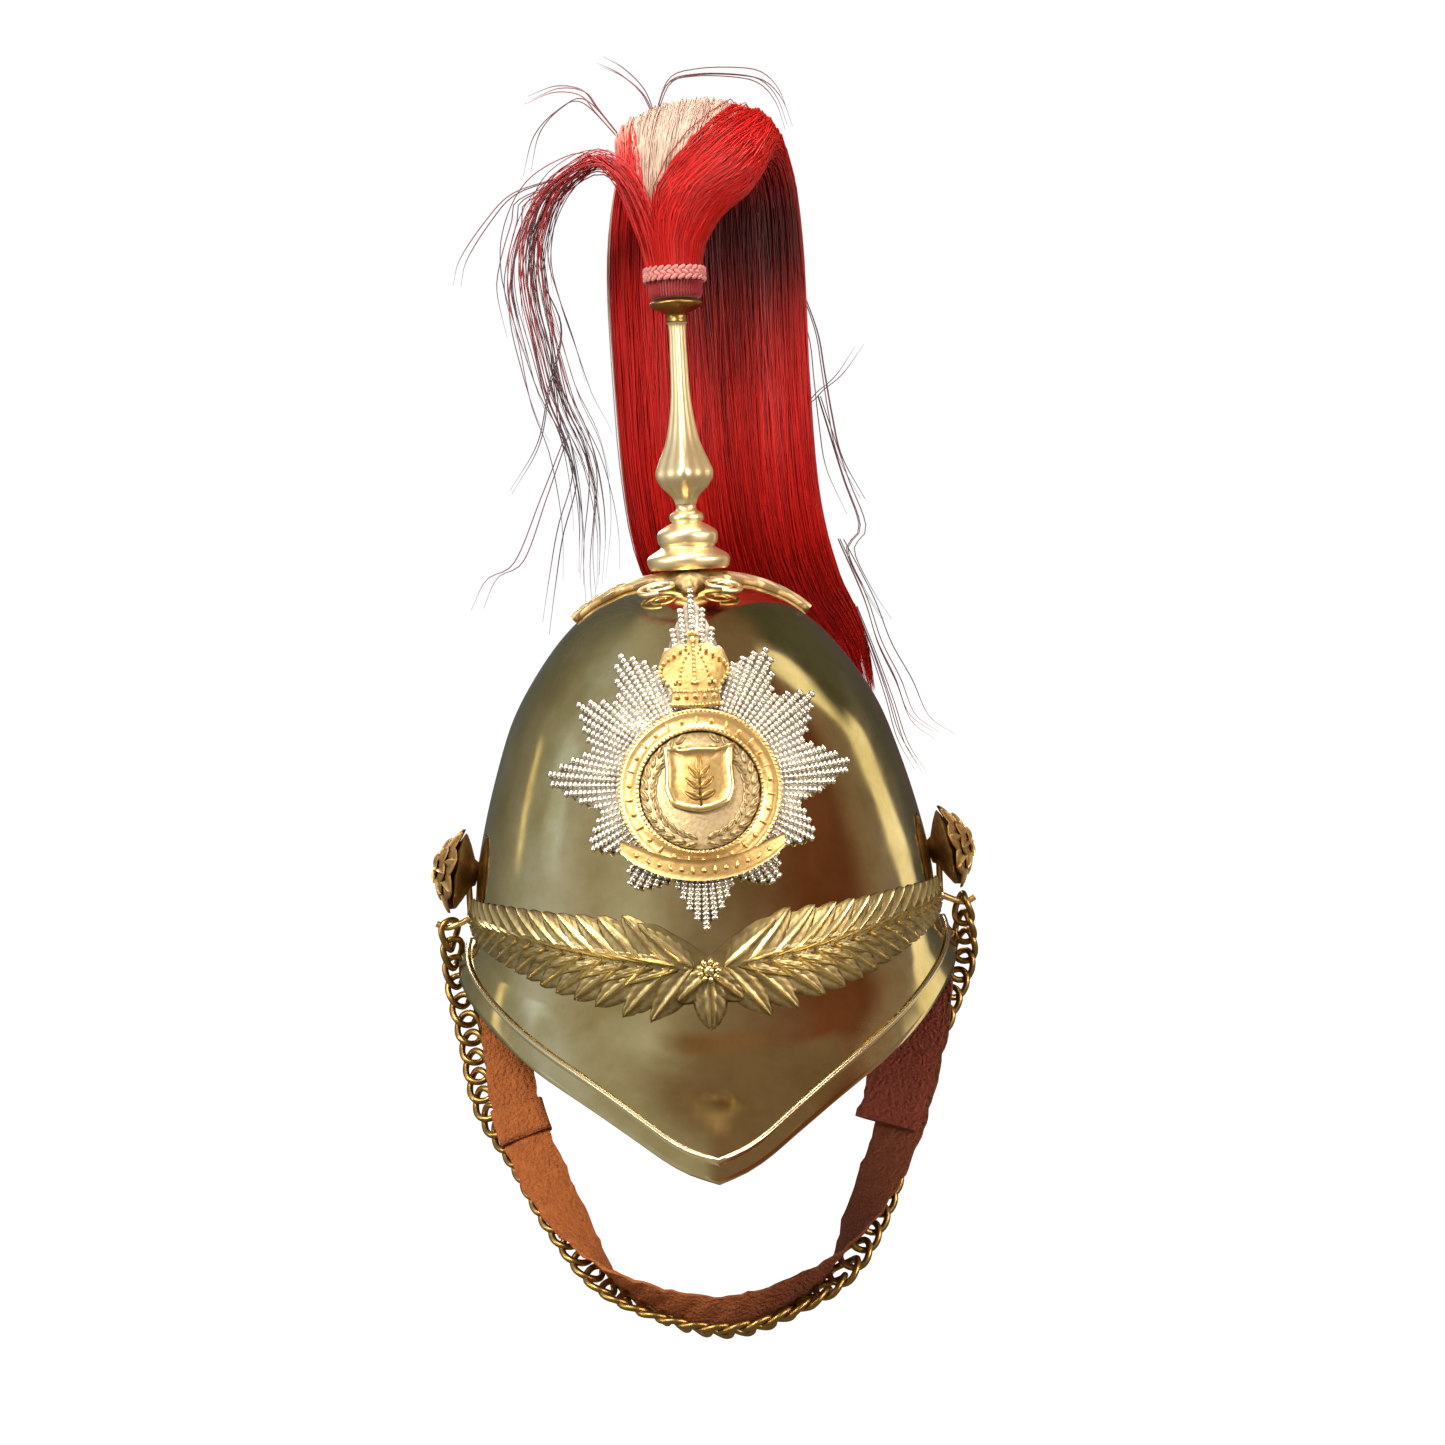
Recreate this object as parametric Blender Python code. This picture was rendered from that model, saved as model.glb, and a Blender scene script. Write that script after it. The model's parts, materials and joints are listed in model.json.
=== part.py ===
"""A brass parade helmet with a horsehair plume, a rayed star, a laurel wreath and a chin chain.

Metres, +Z up, and the front faces -Y. The origin is the middle of the head opening, at brow level.
Every piece stands clear of its neighbours by GAP.
"""

import math

import bmesh
import bpy
import numpy as np

GAP = 0.0003
CM = 0.01

# Skull: the raised shell with its two peaks
SKULL_HALF_WIDTH = 0.0985
SKULL_FRONT = 0.114
SKULL_BACK = 0.120
SKULL_HEIGHT = 0.1365
SKULL_WALL = 0.0012
BROW_DROP = 0.034
SIDE_FLARE = 0.008
SIDE_DROP = 0.020
PEAK_LENGTH = 0.059
PEAK_DROP = 0.079
BACK_PEAK_LENGTH = 0.056
BACK_PEAK_DROP = 0.088
BEAD_INSET = 0.010
BEAD_WIDTH = 0.0036
BEAD_HEIGHT = 0.0012
SKULL_STEPS = 18
FRONT_EASE = 1.25

# Radius of the dome at each height, as shares of the plan radius and of SKULL_HEIGHT
DOME = {
    "height": [-0.25, -0.08, 0.10, 0.28, 0.45, 0.60, 0.74, 0.85, 0.93, 0.98, 1.0],
    "radius": [1.015, 1.005, 0.985, 0.932, 0.863, 0.786, 0.668, 0.545, 0.410, 0.235, 0.0],
}
# Rings of the dome's mesh, as shares of SKULL_HEIGHT
DOME_RINGS = [0.07, 0.26, 0.44, 0.60, 0.75, 0.87, 0.955]
# The edge at each angle from the front, as shares of each peak's length and drop past the side's.
# root is where the flare springs, as a share of BROW_DROP below the origin.
FRONT_EDGE = {
    "angle": [0, 4, 12, 18, 25, 45, 68, 90],
    "reach": [1.0, 0.87, 0.56, 0.40, 0.275, 0.05, 0.0, 0.0],
    "drop": [1.0, 0.955, 0.805, 0.70, 0.60, 0.39, 0.17, 0.0],
    "root": [1.0, 0.99, 0.95, 0.90, 0.82, 0.60, 0.36, 0.25],
}
BACK_EDGE = {
    "angle": [90, 105, 120, 135, 150, 165, 180],
    "reach": [0.0, 0.04, 0.14, 0.36, 0.68, 0.92, 1.0],
    "drop": [0.0, 0.16, 0.35, 0.57, 0.78, 0.94, 1.0],
    "root": [0.25, 0.25, 0.28, 0.34, 0.42, 0.48, 0.50],
}

# Wreath along the brow
WREATH_DROP = 0.0105
WREATH_HALF_HEIGHT = 0.0175
WREATH_END_ANGLE = 82
WREATH_LEAVES = 10
WREATH_RELIEF = 0.0028
WREATH_EDGE = 0.0009
WREATH_LEAN = 5.0
NOTCH_SHARE = 0.66
HANGING_LEAF = 0.0205
# Line of the stem, and the branch's height under and over it, at each angle from the front, as shares
WREATH = {
    "angle": [0, 6, 15, 41, 75, 90],
    "drop": [1.0, 0.94, 0.76, 0.24, 0.10, 0.10],
    "lower": [0.95, 0.97, 1.0, 0.78, 0.52, 0.46],
    "upper": [0.30, 0.75, 1.0, 0.78, 0.52, 0.46],
}

# Star on the front of the dome, measured as seen from the front
STAR_HEIGHT = 0.0585
STAR_REACH = 0.0700
STAR_VALLEY = 0.78
STAR_EDGE = 0.0012
STAR_CENTRE = 0.0030
STAR_SEAT = GAP + 0.0010
STAR_TOP_CLEAR = 0.0023
# Points of the star: degrees from level, and reach as a share of STAR_REACH
STAR_POINTS = {
    "angle": [90, 59, 34, 2, -29, -54, -90],
    "reach": [1.0, 0.80, 0.775, 0.85, 0.70, 0.68, 0.775],
}
RING_DROP = 0.0035
RING_OUTER = 0.0295
RING_INNER = 0.0220
RING_THICK = 0.0018
RING_SEGMENTS = 20
FIELD_THICK = 0.0009
SHIELD_RISE = 0.0045
SHIELD_WIDTH = 0.0250
SHIELD_HEIGHT = 0.0250
SHIELD_THICK = 0.0022
RIBBON_DROP = 0.0270
RIBBON_WIDTH = 0.0075
RIBBON_SPREAD = 0.0290
RIBBON_THICK = 0.0011
CROWN_WIDTH = 0.0260
CROWN_HEIGHT = 0.0265
CROWN_THICK = 0.0030
CROWN_CLEAR = 0.0014

# Bosses at the sides
BOSS_RADIUS = 0.0190
BOSS_HEIGHT = 0.0115
BOSS_RIM = 0.0020
BOSS_LEVEL = 0.0155
BOSS_STANDOFF = 0.0070
BOSS_LEAN = 12
BOSS_PETALS = 8
HOOK_REACH = 0.0140
HOOK_DROP = 0.0224
POST_RADIUS = 0.0035
HOOK_RADIUS = 0.0014

# Crosspiece, foot, stem, cup and binding under the plume
CROSS_REACH = 0.0490
CROSS_FRONT_REACH = 0.0370
CROSS_WAIST = 0.0200
CROSS_RELIEF = 0.0026
CROSS_EDGE = 0.0010
CROSS_SEAT = GAP + 0.0015
CROSS_STEPS = 24
FOOT_RADIUS = 0.0172
FOOT_HEIGHT = 0.0272
STEM_LENGTH = 0.0765
STEM_BULGE = 0.0123
STEM_TOP = 0.0036
CUP_RADIUS = 0.0110
CUP_HEIGHT = 0.0092
BINDING_RADIUS = 0.0132
BINDING_HEIGHT = 0.0128
TURNED_SIDES = 16
# Outline of the foot from its top down, as shares of FOOT_RADIUS and FOOT_HEIGHT
FOOT = {
    "radius": [0.0, 0.25, 0.25, 0.40, 0.42, 0.36, 0.46, 0.73, 0.73, 0.68, 1.0, 1.0, 0.94, 0.0],
    "height": [1.0, 1.0, 0.93, 0.86, 0.77, 0.73, 0.70, 0.58, 0.42, 0.34, 0.20, 0.06, 0.0, 0.0],
}
# Section of the stem from its foot up, as shares of STEM_LENGTH, and of STEM_BULGE past STEM_TOP
STEM = {
    "height": [0.0, 0.04, 0.10, 0.165, 0.235, 0.31, 0.40, 0.58, 0.78, 0.96, 1.0],
    "bulge": [0.10, 0.24, 0.74, 1.0, 0.82, 0.54, 0.31, 0.08, 0.02, 0.0, 0.10],
}
CUP = {
    "radius": [0.0, 0.80, 1.0, 1.0, 0.86, 0.55, 0.38, 0.40, 0.0],
    "height": [1.0, 1.0, 0.88, 0.74, 0.60, 0.42, 0.28, 0.0, 0.0],
}
BINDING = {
    "radius": [0.0, 0.93, 1.0, 1.0, 0.90, 0.84, 0.84, 0.74, 0.0],
    "height": [1.0, 1.0, 0.92, 0.58, 0.50, 0.46, 0.10, 0.0, 0.0],
}

# Plume: sections of the hair along its sweep, chosen by hand, in centimetres.
# x, y and z are the middle of each section, with z over the binding, and half and depth its half
# width and half depth.
PLUME_UNIT = CM
PLUME_ROWS = 19
PLUME_SIDES = 18
LOCK_RELIEF = 0.07
PLUME = {
    "x": [0.0, 0.0, 0.2, 0.8, 1.3, 1.5, 1.4, 1.4, 1.5, 1.9, 2.9, 4.3, 5.9, 7.3],
    "y": [0.0, 0.0, 0.1, 0.8, 2.6, 3.9, 4.2, 4.3, 4.6, 5.5, 7.3, 8.9, 9.8, 9.9],
    "z": [0.0, 1.0, 3.0, 4.6, 5.5, 3.8, 0.7, -3.8, -8.3, -11.6, -14.2, -16.2, -18.2, -19.9],
    "half": [1.1, 1.3, 2.3, 3.1, 3.3, 3.8, 4.1, 4.1, 4.1, 4.1, 3.9, 3.5, 2.7, 1.4],
    "depth": [1.1, 1.25, 1.5, 1.7, 2.0, 1.6, 1.3, 1.2, 1.2, 1.1, 1.0, 0.9, 0.7, 0.35],
}

# Chin strap: its route from the left to the right, chosen by hand, in centimetres.
# roll turns the outer face towards the front, out is how far the chain lies off the strap's middle,
# and aside is how far it lies towards the strap's lower edge.
ROUTE_UNIT = CM
STRAP_ROUTE = {
    "x": [-9.35, -9.48, -9.45, -8.85, -8.50, -7.70, -6.15, -3.9, 0.0, 3.8, 5.9, 7.5, 8.5, 9.35,
          9.60, 9.48, 9.35],
    "y": [0.3, 0.3, 0.3, -0.8, -2.4, -4.0, -5.8, -7.3, -8.0, -7.3, -5.8, -4.0, -2.4, -0.8,
          0.3, 0.3, 0.3],
    "z": [0.6, -1.4, -3.0, -5.0, -7.4, -9.6, -12.2, -14.5, -15.7, -14.5, -12.2, -9.6, -7.4, -5.0,
          -3.0, -1.4, 0.6],
    "roll": [0, 0, -25, -55, -65, -60, -20, 35, 62, 40, -15, -50, -55, -50, -20, 0, 0],
    "out": [0, 0, 1.30, 0.95, 0.80, 0.52, 0.52, 0.50, 0.48, 0.60, 0.58, 0.52, 0.50, 0.65,
            1.40, 0, 0],
    "aside": [0, 0, -0.5, -1.2, -1.2, -0.5, 0, 0.25, 0.3, 0.25, 0, 0, 0, -0.3, -0.4, 0, 0],
}
CHAIN_FIRST_ROW = 2
STRAP_WIDTH = 0.0200
STRAP_THICK = 0.0025
STRAP_PIECES = 40
KEEPER_ROW = 8
KEEPER_THICK = 0.0016
TAB_TOP = -0.046
TAB_FOOT = -0.096
TAB_REACH = 0.019
TAB_OVERLAP = 0.009
TAB_CLEAR = 0.0009
TAB_THICK = 0.0020

# Chin chain
LINK_PITCH = 0.0113
LINK_WIRE = 0.0011
LINK_LENGTH = 0.0163
LINK_WIDTH_END = 0.0125
LINK_WIDTH_CHIN = 0.0150
LINK_BITE = 0.0
LINK_TILT = 0.0006
LINK_SEGMENTS = 10
WIRE_SIDES = 5


def smooth_value(xs, ys, x):
    """A smooth curve through a table's points, read at x; its ends keep their own slope."""
    xs = np.asarray(xs, float)
    ys = np.asarray(ys, float)
    chord = np.diff(ys) / np.diff(xs)
    slope = np.concatenate([chord[:1], (chord[1:] + chord[:-1]) / 2, chord[-1:]])
    slope[1:-1][chord[1:] * chord[:-1] <= 0] = 0
    k = int(np.clip(np.searchsorted(xs, x) - 1, 0, len(xs) - 2))
    span = xs[k + 1] - xs[k]
    t = (x - xs[k]) / span
    return (
        ys[k] * (1 + 2 * t) * (1 - t) ** 2
        + span * slope[k] * t * (1 - t) ** 2
        + ys[k + 1] * t * t * (3 - 2 * t)
        + span * slope[k + 1] * t * t * (t - 1)
    )


def smooth_path(points, count):
    """Catmull-Rom points through the given ones, evenly spaced along their length."""
    points = np.asarray(points, float)
    padded = np.vstack([2 * points[0] - points[1], points, 2 * points[-1] - points[-2]])
    fine = []
    for k in range(len(points) - 1):
        a, b, c, d = padded[k:k + 4]
        for t in np.linspace(0, 1, 12, endpoint=False):
            fine.append(
                0.5 * (2 * b + (c - a) * t + (2 * a - 5 * b + 4 * c - d) * t**2
                       + (3 * b - a - 3 * c + d) * t**3)
            )
    fine.append(points[-1])
    fine = np.array(fine)
    along = np.concatenate([[0], np.cumsum(np.linalg.norm(np.diff(fine[:, :3], axis=0), axis=1))])
    marks = np.linspace(0, along[-1], count)
    return np.column_stack([np.interp(marks, along, column) for column in fine.T]), along[-1]


def unit(vector):
    return vector / np.linalg.norm(vector)


def material(name, red, green, blue, metallic, roughness):
    made = bpy.data.materials.new(name)
    made.use_nodes = True
    shader = made.node_tree.nodes["Principled BSDF"]
    shader.inputs["Base Color"].default_value = (red, green, blue, 1)
    shader.inputs["Metallic"].default_value = metallic
    shader.inputs["Roughness"].default_value = roughness
    made.diffuse_color = (red, green, blue, 1)
    return made


def add_mesh(name, points, faces, finish):
    mesh = bpy.data.meshes.new(name)
    mesh.from_pydata([tuple(map(float, p)) for p in points], [], [tuple(map(int, f)) for f in faces])
    shape = bmesh.new()
    shape.from_mesh(mesh)
    bmesh.ops.recalc_face_normals(shape, faces=shape.faces)
    shape.to_mesh(mesh)
    shape.free()
    mesh.materials.append(finish)
    mesh.shade_smooth()
    mesh.set_sharp_from_angle(angle=math.radians(40))
    made = bpy.data.objects.new(name, mesh)
    bpy.context.collection.objects.link(made)
    return made


def grid_faces(rows, columns, closed=False):
    """Faces of a grid of points stored row by row; closed joins the last column to the first."""
    faces = []
    for r in range(rows - 1):
        for c in range(columns if closed else columns - 1):
            d = (c + 1) % columns
            faces.append((r * columns + c, r * columns + d, (r + 1) * columns + d, (r + 1) * columns + c))
    return faces


def disc_faces(rings, sides):
    """Faces of a centre point followed by rings of points around it."""
    faces = [(0, 1 + k, 1 + (k + 1) % sides) for k in range(sides)]
    for face in grid_faces(rings, sides, closed=True):
        a, b, c, d = (1 + index for index in face)
        faces.append((d, c, b, a))
    return faces


def add_slab(name, top, bottom, faces, finish):
    """A closed solid between two sheets of points that share their faces."""
    count = len(top)
    whole = [tuple(face) for face in faces]
    edges = {(f[k], f[(k + 1) % len(f)]) for f in faces for k in range(len(f))}
    whole += [tuple(index + count for index in reversed(face)) for face in faces]
    whole += [(b, a, a + count, b + count) for a, b in sorted(edges) if (b, a) not in edges]
    return add_mesh(name, list(top) + list(bottom), whole, finish)


def add_turned(name, outline, radius, height, level, finish, centre=(0, 0), sides=TURNED_SIDES):
    """A solid turned about the upright axis; the outline runs from its top down."""
    radii = np.array(outline["radius"][1:-1]) * radius
    levels = level + np.array(outline["height"][1:-1]) * height
    points = [(centre[0], centre[1], levels[0])]
    for r, z in zip(radii, levels):
        for k in range(sides):
            turn = 2 * math.pi * k / sides
            points.append((centre[0] + r * math.cos(turn), centre[1] + r * math.sin(turn), z))
    faces = disc_faces(len(radii), sides)
    points.append((centre[0], centre[1], levels[-1]))
    last = len(points) - 1
    start = last - sides
    faces += [(last, start + (k + 1) % sides, start + k) for k in range(sides)]
    return add_mesh(name, points, faces, finish)


def fuse(target, cutter):
    """Joins a second closed shape to the target, so that the two are one body."""
    cutter.hide_render = True
    cutter.display_type = "WIRE"
    join = target.modifiers.new("Join", "BOOLEAN")
    join.operation = "UNION"
    join.object = cutter


def plan_radius(turn):
    """Radius of the dome's plan at an angle from the front, in radians."""
    length = SKULL_FRONT if math.cos(turn) > 0 else SKULL_BACK
    return 1 / math.hypot(math.sin(turn) / SKULL_HALF_WIDTH, math.cos(turn) / length)


DOME_LINE, _ = smooth_path(np.column_stack([DOME["height"], DOME["radius"]]), 400)


def dome_share(z):
    """Share of the plan radius that the dome has at a height."""
    return float(np.interp(z / SKULL_HEIGHT, DOME_LINE[:, 0], DOME_LINE[:, 1]))


def dome_point(turn, z):
    radius = plan_radius(turn) * dome_share(z)
    return np.array([radius * math.sin(turn), -radius * math.cos(turn), z])


def dome_normal(turn, z):
    step = 1e-4
    around = dome_point(turn + step, z) - dome_point(turn - step, z)
    upward = dome_point(turn, z + step) - dome_point(turn, z - step)
    return unit(np.cross(around, upward))


def on_dome(turn, z, lift):
    return dome_point(turn, z) + lift * dome_normal(turn, z)


def on_front(x, z, lift):
    """The point of the dome's front that is seen at x and z, raised by lift."""
    share = dome_share(z)
    y = math.sqrt(max(1 - (x / (SKULL_HALF_WIDTH * share)) ** 2, 0)) * SKULL_FRONT * share
    return on_dome(math.atan2(x, y), z, lift)


def edge_values(turn):
    """Reach past the plan, drop and root of the flare at an angle from the front."""
    degrees = abs(math.degrees(turn))
    if degrees <= 90:
        table, length, drop = FRONT_EDGE, PEAK_LENGTH, PEAK_DROP
    else:
        table, length, drop = BACK_EDGE, BACK_PEAK_LENGTH, BACK_PEAK_DROP
    values = [smooth_value(table["angle"], table[key], degrees) for key in ("reach", "drop", "root")]
    return (
        SIDE_FLARE + values[0] * (length - SIDE_FLARE),
        SIDE_DROP + values[1] * (drop - SIDE_DROP),
        values[2] * BROW_DROP,
    )


def flare_point(turn, share, lift=0.0):
    """A point of the flare, from its root at share 0 to the edge at share 1."""
    reach, drop, root = edge_values(turn)
    start = np.array([plan_radius(turn) * dome_share(-root), -root])
    end = np.array([plan_radius(turn) + reach, -drop])
    length = np.linalg.norm(end - start)
    slope = unit(end - start)
    first = start + np.array([0.10, -0.30]) * length
    second = end - 0.40 * length * slope
    s = 1 - share
    flat = s**3 * start + 3 * s * s * share * first + 3 * s * share**2 * second + share**3 * end
    flat = flat + lift * np.array([-slope[1], slope[0]])
    return np.array([flat[0] * math.sin(turn), -flat[0] * math.cos(turn), flat[1]])


def flare_shares(turn):
    """Rows of the flare: the raised bead lies BEAD_INSET inside the edge."""
    reach, drop, root = edge_values(turn)
    length = math.hypot(reach, drop - root)
    bead = max(1 - BEAD_INSET / length, 0.40)
    half = min(BEAD_WIDTH / 2 / length, 0.18)
    return [0.5 * (bead - half), bead - half, bead, bead + half, 1.0]


def build_skull(brass):
    turns = []
    for k in range(-SKULL_STEPS, SKULL_STEPS):
        turns.append(math.copysign(math.pi * (abs(k) / SKULL_STEPS) ** FRONT_EASE, k))
    rings = [[dome_point(turn, ring * SKULL_HEIGHT) for turn in turns] for ring in reversed(DOME_RINGS)]
    rings.append([flare_point(turn, 0) for turn in turns])
    for row in range(5):
        lift = BEAD_HEIGHT if row == 2 else 0.0
        rings.append([flare_point(turn, flare_shares(turn)[row], lift) for turn in turns])
    points = [(0, 0, SKULL_HEIGHT)] + [point for ring in rings for point in ring]
    skull = add_mesh("skull", points, disc_faces(len(rings), len(turns)), brass)
    wall = skull.modifiers.new("Wall", "SOLIDIFY")
    wall.thickness = SKULL_WALL
    wall.offset = -1


def build_wreath(gilt):
    columns = range(-2 * WREATH_LEAVES, 2 * WREATH_LEAVES + 1)
    top = []
    bottom = []
    for row in (-1.0, -0.5, 0.0, 0.5, 1.0):
        for k in columns:
            degrees = WREATH_END_ANGLE * abs(k) / (2 * WREATH_LEAVES)
            stem = -WREATH_DROP * smooth_value(WREATH["angle"], WREATH["drop"], degrees)
            side = "lower" if row < 0 else "upper"
            half = WREATH_HALF_HEIGHT * smooth_value(WREATH["angle"], WREATH[side], degrees)
            tip = k % 2 == 1
            reach = half if tip else half * NOTCH_SHARE
            if k == 0 and row < 0:
                reach = HANGING_LEAF
            lean = math.copysign(WREATH_LEAN * abs(row) * min(abs(k) / 4, 1), k)
            turn = math.radians(math.copysign(degrees, k) + lean)
            z = stem + row * reach
            ridge = WREATH_RELIEF if tip or k == 0 else 0.6 * WREATH_RELIEF
            lift = WREATH_EDGE if abs(row) == 1 else ridge
            top.append(on_dome(turn, z, GAP + lift))
            bottom.append(on_dome(turn, z, GAP))
    add_slab("wreath", top, bottom, grid_faces(5, len(columns)), gilt)


def star_outline():
    """Tips and valleys of the star, as angle and reach, all the way round."""
    angles = STAR_POINTS["angle"] + [180 - a for a in STAR_POINTS["angle"][-2:0:-1]]
    reaches = STAR_POINTS["reach"] + STAR_POINTS["reach"][-2:0:-1]
    count = len(angles)
    outline = []
    for k in range(count):
        following = angles[(k + 1) % count]
        while following > angles[k]:
            following -= 360
        outline.append((math.radians(angles[k]), reaches[k] * STAR_REACH))
        lower = min(reaches[k], reaches[(k + 1) % count])
        outline.append((math.radians((angles[k] + following) / 2), STAR_VALLEY * lower * STAR_REACH))
    return outline[::-1]


def star_seat(z):
    """How far the star stands off the dome: it rises where the dome curves away under its top."""
    return STAR_SEAT + STAR_TOP_CLEAR * max((z - STAR_HEIGHT) / STAR_REACH, 0) ** 2


def build_star(silver, gilt):
    outline = star_outline()
    valley = min(reach for _, reach in outline)
    blends = [(0.0, 0.35), (0.0, 0.70), (0.0, 1.0), (0.35, 1.0), (0.7, 1.0), (1.0, 1.0)]
    top = [on_front(0, STAR_HEIGHT, STAR_SEAT + STAR_CENTRE)]
    bottom = [on_front(0, STAR_HEIGHT, STAR_SEAT)]
    for blend, ring in blends:
        for turn, reach in outline:
            radius = ring * ((1 - blend) * valley * 0.97 + blend * reach)
            lift = STAR_CENTRE + blend * (STAR_EDGE - STAR_CENTRE)
            x, z = radius * math.cos(turn), STAR_HEIGHT + radius * math.sin(turn)
            top.append(on_front(x, z, star_seat(z) + lift))
            bottom.append(on_front(x, z, star_seat(z)))
    add_slab("star_plate", top, bottom, disc_faces(len(blends), len(outline)), silver)

    seat = STAR_CENTRE + GAP
    middle = STAR_HEIGHT - RING_DROP

    def front(x, z, low, high):
        level = middle + z
        return on_front(x, level, star_seat(level) + high), on_front(x, level, star_seat(level) + low)

    around = [2 * math.pi * k / RING_SEGMENTS for k in range(RING_SEGMENTS)]
    pairs = [
        front(radius * math.cos(turn), radius * math.sin(turn), seat, seat + RING_THICK)
        for radius in (RING_INNER, (RING_INNER + RING_OUTER) / 2, RING_OUTER)
        for turn in around
    ]
    faces = [tuple(reversed(face)) for face in grid_faces(3, RING_SEGMENTS, closed=True)]
    add_slab("star_ring", [p[0] for p in pairs], [p[1] for p in pairs], faces, gilt)

    pairs = [front(0, 0, seat, seat + FIELD_THICK)] + [
        front(radius * math.cos(turn), radius * math.sin(turn), seat, seat + FIELD_THICK)
        for radius in (0.5 * RING_INNER, RING_INNER - 2 * GAP)
        for turn in around
    ]
    add_slab("star_field", [p[0] for p in pairs], [p[1] for p in pairs], disc_faces(2, RING_SEGMENTS), gilt)

    build_shield(front, seat + FIELD_THICK + GAP, gilt)
    build_ribbon(front, seat, gilt)
    build_crown(front, seat, gilt)


# Half outline of the shield from its top middle to its foot, as shares of its width and height
SHIELD = {
    "x": [0.0, 0.28, 0.5, 0.48, 0.50, 0.42, 0.22, 0.0],
    "z": [0.46, 0.44, 0.5, 0.20, -0.16, -0.38, -0.46, -0.5],
}
# Half outline of the crown from its top ball to the middle of its foot, as shares
CROWN = {
    "x": [0.0, 0.09, 0.05, 0.20, 0.42, 0.50, 0.44, 0.33, 0.36, 0.0],
    "z": [1.0, 0.93, 0.82, 0.84, 0.74, 0.54, 0.36, 0.22, 0.0, -0.04],
}
# Half of the ribbon's middle line from its middle to its tail, and its half height, as shares
RIBBON = {
    "x": [0.0, 0.25, 0.5, 0.72, 0.86, 1.0],
    "z": [-0.30, -0.22, 0.0, 0.35, 0.62, 0.95],
    "half": [0.5, 0.5, 0.5, 0.48, 0.44, 0.30],
}


def mirrored(table):
    """Both halves of an outline, anticlockwise from the left of its foot."""
    right = list(zip(table["x"], table["z"]))[::-1]
    left = [(-x, z) for x, z in right[::-1][1:-1]]
    return right + left


def outline_slab(name, outline, low, high, crest, front, finish):
    """A plate with a raised middle, from its outline and a smaller copy of it."""
    centre = np.mean(outline, axis=0)
    pairs = [front(*centre, low, crest)]
    for share in (0.55, 1.0):
        for point in outline:
            x, z = centre + share * (np.array(point) - centre)
            pairs.append(front(x, z, low, crest if share < 1 else high))
    add_slab(name, [p[0] for p in pairs], [p[1] for p in pairs], disc_faces(2, len(outline)), finish)


def build_shield(front, seat, gilt):
    outline = [(x * SHIELD_WIDTH, SHIELD_RISE + z * SHIELD_HEIGHT) for x, z in mirrored(SHIELD)]
    crest = seat + SHIELD_THICK
    outline_slab("star_shield", outline, seat, seat + 0.6 * SHIELD_THICK, crest, front, gilt)


def build_crown(front, seat, gilt):
    foot = RING_OUTER + CROWN_CLEAR
    outline = [(x * CROWN_WIDTH, foot + z * CROWN_HEIGHT) for x, z in mirrored(CROWN)]
    outline_slab("star_crown", outline, seat, seat + 0.4 * CROWN_THICK, seat + CROWN_THICK, front, gilt)


def build_ribbon(front, seat, gilt):
    low = seat + RING_THICK + GAP
    rows = []
    for side in (-1, 1):
        half = [
            (side * x * RIBBON_SPREAD, z * RIBBON_WIDTH - RIBBON_DROP, h * RIBBON_WIDTH)
            for x, z, h in zip(RIBBON["x"], RIBBON["z"], RIBBON["half"])
        ]
        rows += half[:0:-1] if side < 0 else half
    pairs = [
        front(x, z + side * half, low, low + RIBBON_THICK)
        for side in (-1, 1)
        for x, z, half in rows
    ]
    add_slab("star_ribbon", [p[0] for p in pairs], [p[1] for p in pairs], grid_faces(2, len(rows)), gilt)


def build_boss(name, side, gilt):
    """A rose with its post, hung beside the skull, and the hook under it that holds the chain."""
    lean = math.radians(BOSS_LEAN)
    out = np.array([side * math.cos(lean), 0, math.sin(lean)])
    up = np.array([-side * math.sin(lean), 0, math.cos(lean)])
    forward = np.array([0, -1, 0]) * side
    wall = on_dome(side * math.pi / 2, BOSS_LEVEL, 0)
    back = wall + BOSS_STANDOFF * out
    sides = 2 * BOSS_PETALS
    rows = [(0.30, 1.0), (0.36, 0.80), (0.72, 0.82), (1.0, 0.20)]
    points = [back + (BOSS_RIM + BOSS_HEIGHT * 1.05) * out]
    rings = []
    for radius, height in rows:
        rings.append((radius * BOSS_RADIUS, BOSS_RIM + (height - 0.2) * BOSS_HEIGHT))
    rings += [(BOSS_RADIUS, 0.0), (POST_RADIUS, 0.0), (POST_RADIUS, GAP - BOSS_STANDOFF)]
    for index, (radius, depth) in enumerate(rings):
        for k in range(sides):
            turn = 2 * math.pi * k / sides
            petal = 1 - 0.07 * (k % 2) if 0 < index < 5 else 1.0
            around = math.cos(turn) * forward + math.sin(turn) * up
            points.append(back + depth * out + radius * petal * around)
    faces = disc_faces(len(rings), sides)
    points.append(back + (GAP - BOSS_STANDOFF) * out)
    last = len(points) - 1
    start = last - sides
    faces += [(last, start + (k + 1) % sides, start + k) for k in range(sides)]
    boss = add_mesh(name, points, faces, gilt)
    fuse(boss, add_tube(name + "_hook", hook_points(side), HOOK_RADIUS, 8, gilt))


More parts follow.
